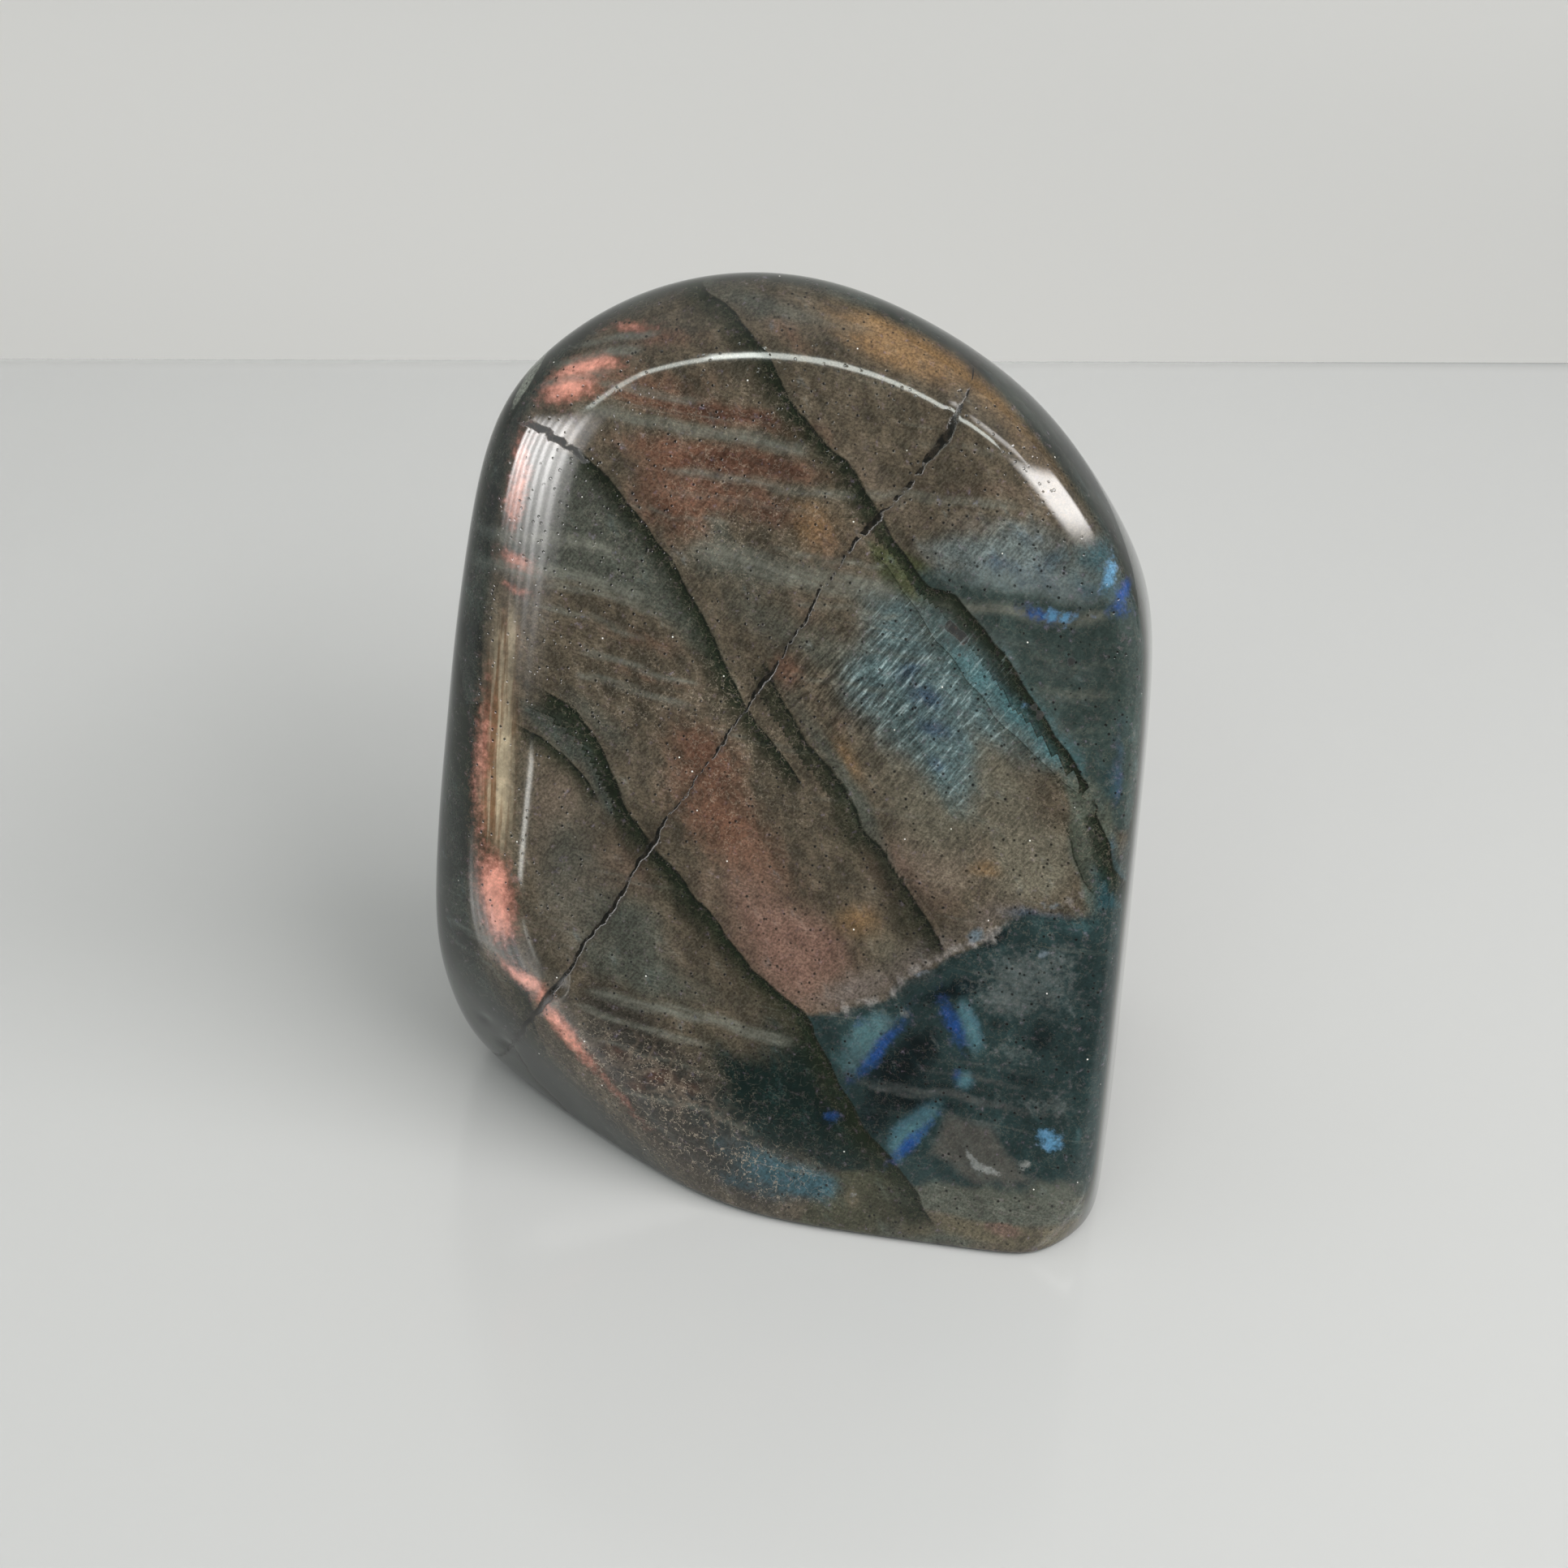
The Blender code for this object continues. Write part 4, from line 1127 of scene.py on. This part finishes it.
# %% The crack's dark inside
CRACK_RAGGED = 0.36  # mm, how far noise moves the crack's rim to and fro
CRACK_BLACK = (0.003, 0.003, 0.002, 1)
CRACK_DARK_BROWN = (0.020, 0.016, 0.011, 1)
CRACK_HALO = (0.035, 0.026, 0.018, 1)

crack_place = finish.scaled(finish.noise(on_map, 0.5, 4.0, 0.75), CRACK_RAGGED, finish.mark("crack_gap"))
crack_place = finish.math("SUBTRACT", crack_place, CRACK_RAGGED / 2)
crack_share = finish.smooth(finish.math("DIVIDE", crack_place, finish.mark("crack_half")), 1.15, 0.7)
crack_halo = finish.smooth(crack_place, 0.9, 0.1)
stone_colour = finish.blend(part_of(crack_halo, 0.35), stone_colour, CRACK_HALO)
# the crack's inside is black, with patches of dark brown
crack_fill = finish.blend(finish.smooth(noises["fine"], 0.45, 0.6), CRACK_BLACK, CRACK_DARK_BROWN)
stone_colour = finish.blend(part_of(crack_share, 0.95), stone_colour, crack_fill)
count_nodes("crack")

# %% [markdown]
# ## Polish
#
# The polish is a low roughness with the index of refraction of feldspar. It stays out of the crack and off
# the black inclusion, and a very small bump lets the pepper and the crack break the reflections.

# %% Polish and bump
FELDSPAR_IOR = 1.56
POLISH_ROUGHNESS = 0.07
CRACK_ROUGHNESS = 0.12  # more than the polish
BUMP_DEPTH = 0.1  # mm

finish.feed(finish.shader.inputs["Base Color"], stone_colour)
finish.shader.inputs["IOR"].default_value = FELDSPAR_IOR
matt = part_of(broken("ink", 0.35, 0.7, "fine", 1.3), 0.5)
roughness = finish.scaled(crack_share, CRACK_ROUGHNESS, finish.math("ADD", matt, POLISH_ROUGHNESS))
finish.feed(finish.shader.inputs["Roughness"], roughness)
dents = finish.math("ADD", crack_share, part_of(pepper, 0.5))
height = finish.scaled(dents, -1.0, part_of(noises["wide"], 0.25))
bump_inputs = {"Strength": 0.35, "Distance": BUMP_DEPTH * MM, "Height": height}
finish.feed(finish.shader.inputs["Normal"], finish.add("ShaderNodeBump", bump_inputs, "Normal"))
stone_mesh.materials.append(finish.material)
count_nodes("the whole finish")

# %% [markdown]
# ## The stage: a pale table and a pale wall
#
# The stone stands on a white, faintly glossy table in front of a pale wall. The table ends two hands'
# widths behind the stone with a rounded edge, and the wall stands further back, so that no view from
# behind is blocked by it. The table's edge is turned a little against the camera.

# %% Table and wall
TABLE_BACK = 216.0  # mm behind the heart
TABLE_EDGE_RADIUS = 22.0
TABLE_THICKNESS = 60.0
TABLE_TURN = np.radians(4.4)
STAGE_HALF_WIDTH = 2200.0
TABLE_FRONT = -1500.0
WALL_DISTANCE = 640.0
WALL_FOOT = -700.0
WALL_TOP = 1800.0


def swept_sheet(name, profile):
    """A sheet made by moving a profile of (distance behind the heart, height) points, in mm, from the far
    left to the far right, along lines that are turned by TABLE_TURN."""
    behind, z = np.array(profile).T
    run = np.array([np.cos(TABLE_TURN), np.sin(TABLE_TURN), 0.0]) * STAGE_HALF_WIDTH
    back = np.array([-np.sin(TABLE_TURN), np.cos(TABLE_TURN), 0.0])
    middle = heart * (1, 1, 0) + behind[:, None] * back + z[:, None] * np.array([0.0, 0.0, 1.0])
    corners = np.concatenate([middle - run, middle + run]) * MM
    count = len(behind)
    first = np.arange(count - 1)
    faces = np.stack([first, first + count, first + count + 1, first + 1], axis=1)
    mesh = bpy.data.meshes.new(name)
    mesh.from_pydata(corners.tolist(), [], faces.tolist())
    mesh.shade_smooth()
    sheet = bpy.data.objects.new(name, mesh)
    bpy.context.scene.collection.objects.link(sheet)
    return sheet


bend = np.radians(np.linspace(0, 90, 37))
edge_behind = TABLE_BACK + TABLE_EDGE_RADIUS * (np.sin(bend) - 1)
edge_height = TABLE_EDGE_RADIUS * (np.cos(bend) - 1)
table_profile = [(TABLE_FRONT, 0.0), *zip(edge_behind, edge_height), (TABLE_BACK, -TABLE_THICKNESS)]
table = swept_sheet("table", table_profile)
wall = swept_sheet("wall", [(WALL_DISTANCE, WALL_FOOT), (WALL_DISTANCE, WALL_TOP)])
print("the table's back edge is", round(TABLE_BACK), "mm and the wall", round(WALL_DISTANCE), "mm behind")

# %% [markdown]
# ## The stage's finishes
#
# The table and the wall also show in the stone's polish. A real room is darker on the camera's side and to
# the right than these two endless sheets would be. So a ray that a polished surface has mirrored sees them
# darker there, and the camera and the soft light do not.

# %% The table's finish
TABLE_LIT_TO = 110.0  # mm in front of the heart; past it the stone mirrors a dark room, not the table
TABLE_FADE = (0.6, 1.4)  # where it begins and ends to darken, as shares of TABLE_LIT_TO
TABLE_WHITE = (0.60, 0.605, 0.60, 1)
TABLE_DUSK = (0.08, 0.085, 0.08, 1)

table_finish = Finish("white glossy table")
table_place = table_finish.add("ShaderNodeTexCoord", {}, "Object")
fade_from, fade_to = [(heart[1] - fade * TABLE_LIT_TO) * MM for fade in TABLE_FADE]
table_dim = table_finish.smooth(table_finish.coordinate(table_place, 1), fade_from, fade_to)
table_dim = table_finish.math("MULTIPLY", table_dim, table_finish.mirrored())
table_colour = table_finish.blend(table_dim, TABLE_WHITE, TABLE_DUSK)
table_finish.feed(table_finish.shader.inputs["Base Color"], table_colour)
table_finish.shader.inputs["Roughness"].default_value = 0.14
table.data.materials.append(table_finish.material)
print("the table darkens from", round(float(fade_from), 3), "to", round(float(fade_to), 3), "m along y")

# %% The wall's finish
# painted light and shade: the wall is painted lighter to the lower left and darker to the upper right, for
# every ray
WALL_PAINTED_LIGHT_LOW_LEFT = (0.86, 0.85, 0.82, 1)
WALL_PAINTED_SHADE_UPPER_RIGHT = (0.77, 0.765, 0.74, 1)
WALL_DUSK = (0.36, 0.36, 0.36, 1)
WALL_DUSK_ALONG = (0.0, 0.35)  # m along x, where it begins and ends to darken

wall_finish = Finish("pale wall")
wall_place = wall_finish.add("ShaderNodeTexCoord", {}, "Object")
wall_x = wall_finish.coordinate(wall_place, 0)
wall_z = wall_finish.coordinate(wall_place, 2)
wall_painted_shade = wall_finish.smooth(wall_finish.scaled(wall_z, 4.0, wall_x), -0.85, -0.1)
wall_colour = wall_finish.blend(wall_painted_shade, WALL_PAINTED_LIGHT_LOW_LEFT, WALL_PAINTED_SHADE_UPPER_RIGHT)
wall_dim = wall_finish.math("MULTIPLY", wall_finish.mirrored(), wall_finish.smooth(wall_x, *WALL_DUSK_ALONG))
wall_colour = wall_finish.blend(wall_dim, wall_colour, WALL_DUSK)
wall_finish.feed(wall_finish.shader.inputs["Base Color"], wall_colour)
wall_finish.shader.inputs["Roughness"].default_value = 0.9
wall.data.materials.append(wall_finish.material)
print("the wall has", len(wall_finish.tree.nodes), "nodes")

# %% [markdown]
# ## Light
#
# The room has a large soft light to the right and above, a long window over the camera, and a window
# with upright slats to the left. A softbox is a rectangle that glows: it is placed by the direction in
# which the stone sees it, so each one is where its reflection on the polished edges needs it.

# %% Softboxes
WARM_WHITE = (1.0, 0.98, 0.96)
SLAT_WHITE = (1.0, 0.98, 0.97)
LEAF_WHITE = (0.94, 1.0, 0.94)
DOOR_WHITE = (1.0, 1.0, 0.94)


def softbox(name, azimuth, elevation, width, height, radiance, colour, roll=0.0, distance=900.0):
    """A glowing rectangle seen from the heart in the given direction, width by height in degrees, rolled
    by roll degrees, and distance mm away. Its power is radiance * pi * area, so that it looks equally
    bright whatever its size."""
    direction = ray_directions(np.radians(azimuth), np.radians(elevation))
    size_x = 2 * distance * np.tan(np.radians(width / 2)) * MM
    size_y = 2 * distance * np.tan(np.radians(height / 2)) * MM
    lamp = bpy.data.lights.new(name, "AREA")
    lamp.shape = "RECTANGLE"
    lamp.size = size_x
    lamp.size_y = size_y
    lamp.color = colour
    lamp.energy = radiance * np.pi * size_x * size_y
    light = bpy.data.objects.new(name, lamp)
    right = np.array([np.cos(np.radians(azimuth)), np.sin(np.radians(azimuth)), 0.0])
    up = np.cross(direction, right)
    cosine, sine = np.cos(np.radians(roll)), np.sin(np.radians(roll))
    right, up = cosine * right + sine * up, cosine * up - sine * right
    turn = Matrix(np.stack([right, up, direction], axis=1).tolist()).to_4x4()
    light.matrix_world = Matrix.Translation(((heart + direction * distance) * MM).tolist()) @ turn
    bpy.context.scene.collection.objects.link(light)
    print(name, "is", round(float(size_x), 2), "x", round(float(size_y), 2), "m")
    return light


key = softbox("key", 57, 41, 64, 14, 15.5, WARM_WHITE)
key_end = softbox("key's end", 30, 50, 18, 8, 7.0, WARM_WHITE, roll=-15.0)
softbox("ceiling window", -4, 47, 35, 3.4, 10.0, LEAF_WHITE)
softbox("ceiling window's bend", -30, 42.3, 14, 2.6, 9.0, LEAF_WHITE, roll=33.0)
softbox("ceiling window's end", -38.7, 33, 2.4, 11, 7.0, LEAF_WHITE, roll=-13.0)
door_gap = softbox("door gap", -37.5, 0, 1.3, 5.5, 9.0, DOOR_WHITE, roll=-14.0, distance=400.0)
door_gap.visible_diffuse = False  # it is only there to be mirrored
door_gap.visible_camera = False
slatted = softbox("window with slats", -51, 14.5, 38, 27, 18.0, SLAT_WHITE)
slatted.visible_diffuse = False  # it too is only mirrored

# %% [markdown]
# ## Soft edges and slats
#
# A real window isn't evenly bright: curtains fade it towards its edges, and slats cut it into stripes. Both
# show in the polish. A lamp's own nodes read the place on it, 0 to 1 across it and 0 to 1 up it, so the
# fading is worked out there. Many small lamps would do it too, but they render slowly.

# %% Fading a lamp
SLAT_EDGE = (0.2, 0.36)  # as shares of a stripe's width, from its middle to its side
SLAT_SHADE = 0.5  # how much light a slat lets through
SLATS = 8


def soften(light, fades, slats=0):
    """Fades a lamp towards its edges. Each fade is (0 for across or 1 for up, dark end, bright end), as
    shares of the lamp's size. With slats, it glows in that many upright stripes."""
    lamp = Nodes(light.data)
    on_lamp = lamp.add("ShaderNodeNewGeometry", {}, "Parametric")
    glow = 1.0
    for axis, dark_end, bright_end in fades:
        fade = lamp.smooth(lamp.coordinate(on_lamp, axis), dark_end, bright_end)
        glow = lamp.math("MULTIPLY", fade, glow)
    if slats:
        stripes = lamp.math("MULTIPLY", lamp.coordinate(on_lamp, 0), float(slats))
        stripe = lamp.math("PINGPONG", stripes, 0.5)
        glow = lamp.math("MULTIPLY", lamp.smooth(stripe, *SLAT_EDGE, SLAT_SHADE), glow)
    lamp.feed(lamp.tree.nodes["Emission"].inputs["Strength"], glow)


soften(key, ((0, 0.0, 0.2), (0, 1.0, 0.8), (1, 0.0, 0.35), (1, 1.0, 0.75)))
soften(key_end, ((0, 0.0, 0.5), (1, 0.0, 0.5), (1, 1.0, 0.7)))
soften(slatted, ((1, 0.05, 0.6), (1, 1.0, 0.75), (0, 1.0, 0.7)), SLATS)
print("three lamps fade at their edges, and", slatted.name, "has", SLATS, "stripes")

# %% [markdown]
# ## The room around
#
# All that is needed of the room is its evenly pale light, which fills the shadows. Only mirrored rays see
# it darker towards the camera, because a room is darker on the side away from its windows. The colours are
# shown as they are, with the Standard view, because a film-like view would fade the copper.

# %% The room's light
ROOM_PALE = (0.49, 0.50, 0.505, 1)
ROOM_DUSK = (0.10, 0.11, 0.11, 1)
CAMERA_SIDE = (-0.15, -0.98, 0.12)  # the direction in which the room is darkest
DUSK_EDGE = (0.35, 0.85)  # cosines of the angle to it, where the dusk begins and is full

room = bpy.context.scene.world or bpy.data.worlds.new("room")
bpy.context.scene.world = room
around = Nodes(room)
look = around.add("ShaderNodeTexCoord", {}, "Generated")
toward = around.add("ShaderNodeVectorMath", {0: look, 1: CAMERA_SIDE}, "Value", operation="DOT_PRODUCT")
room_dim = around.math("MULTIPLY", around.smooth(toward, *DUSK_EDGE), around.mirrored())
background = around.tree.nodes["Background"]
around.feed(background.inputs["Color"], around.blend(room_dim, ROOM_PALE, ROOM_DUSK))
background.inputs["Strength"].default_value = 1.0
bpy.context.scene.view_settings.view_transform = "Standard"
print("the room has", len(around.tree.nodes), "nodes")

# %% [markdown]
# ## Camera
#
# The camera looks down at the stone from the front, as a phone held over the table does. Its place was
# worked out from the stone's outline and from its mirror image in the table.

# %% Camera
FOCAL_LENGTH = 58.1  # mm
SENSOR_WIDTH = 36.0
PITCH = np.radians(33.0)
ROLL = np.radians(1.94)
CAMERA_FROM_HEART = (0.1, -235.3, 152.9)  # mm

forward = np.array([0.0, np.cos(PITCH), -np.sin(PITCH)])
level_right = np.array([1.0, 0.0, 0.0])
level_up = np.cross(level_right, forward)
camera_right = level_right * np.cos(ROLL) + level_up * np.sin(ROLL)
camera_up = level_up * np.cos(ROLL) - level_right * np.sin(ROLL)
camera_data = bpy.data.cameras.new("camera")
camera_data.lens = FOCAL_LENGTH
camera_data.sensor_width = SENSOR_WIDTH
camera_data.clip_start = 0.01
camera = bpy.data.objects.new("camera", camera_data)
turn = Matrix(np.stack([camera_right, camera_up, -forward], axis=1).tolist()).to_4x4()
camera.matrix_world = Matrix.Translation(((heart + CAMERA_FROM_HEART) * MM).tolist()) @ turn
bpy.context.scene.collection.objects.link(camera)
bpy.context.scene.camera = camera
print("the camera is", round(float(np.linalg.norm(CAMERA_FROM_HEART))), "mm from the heart")
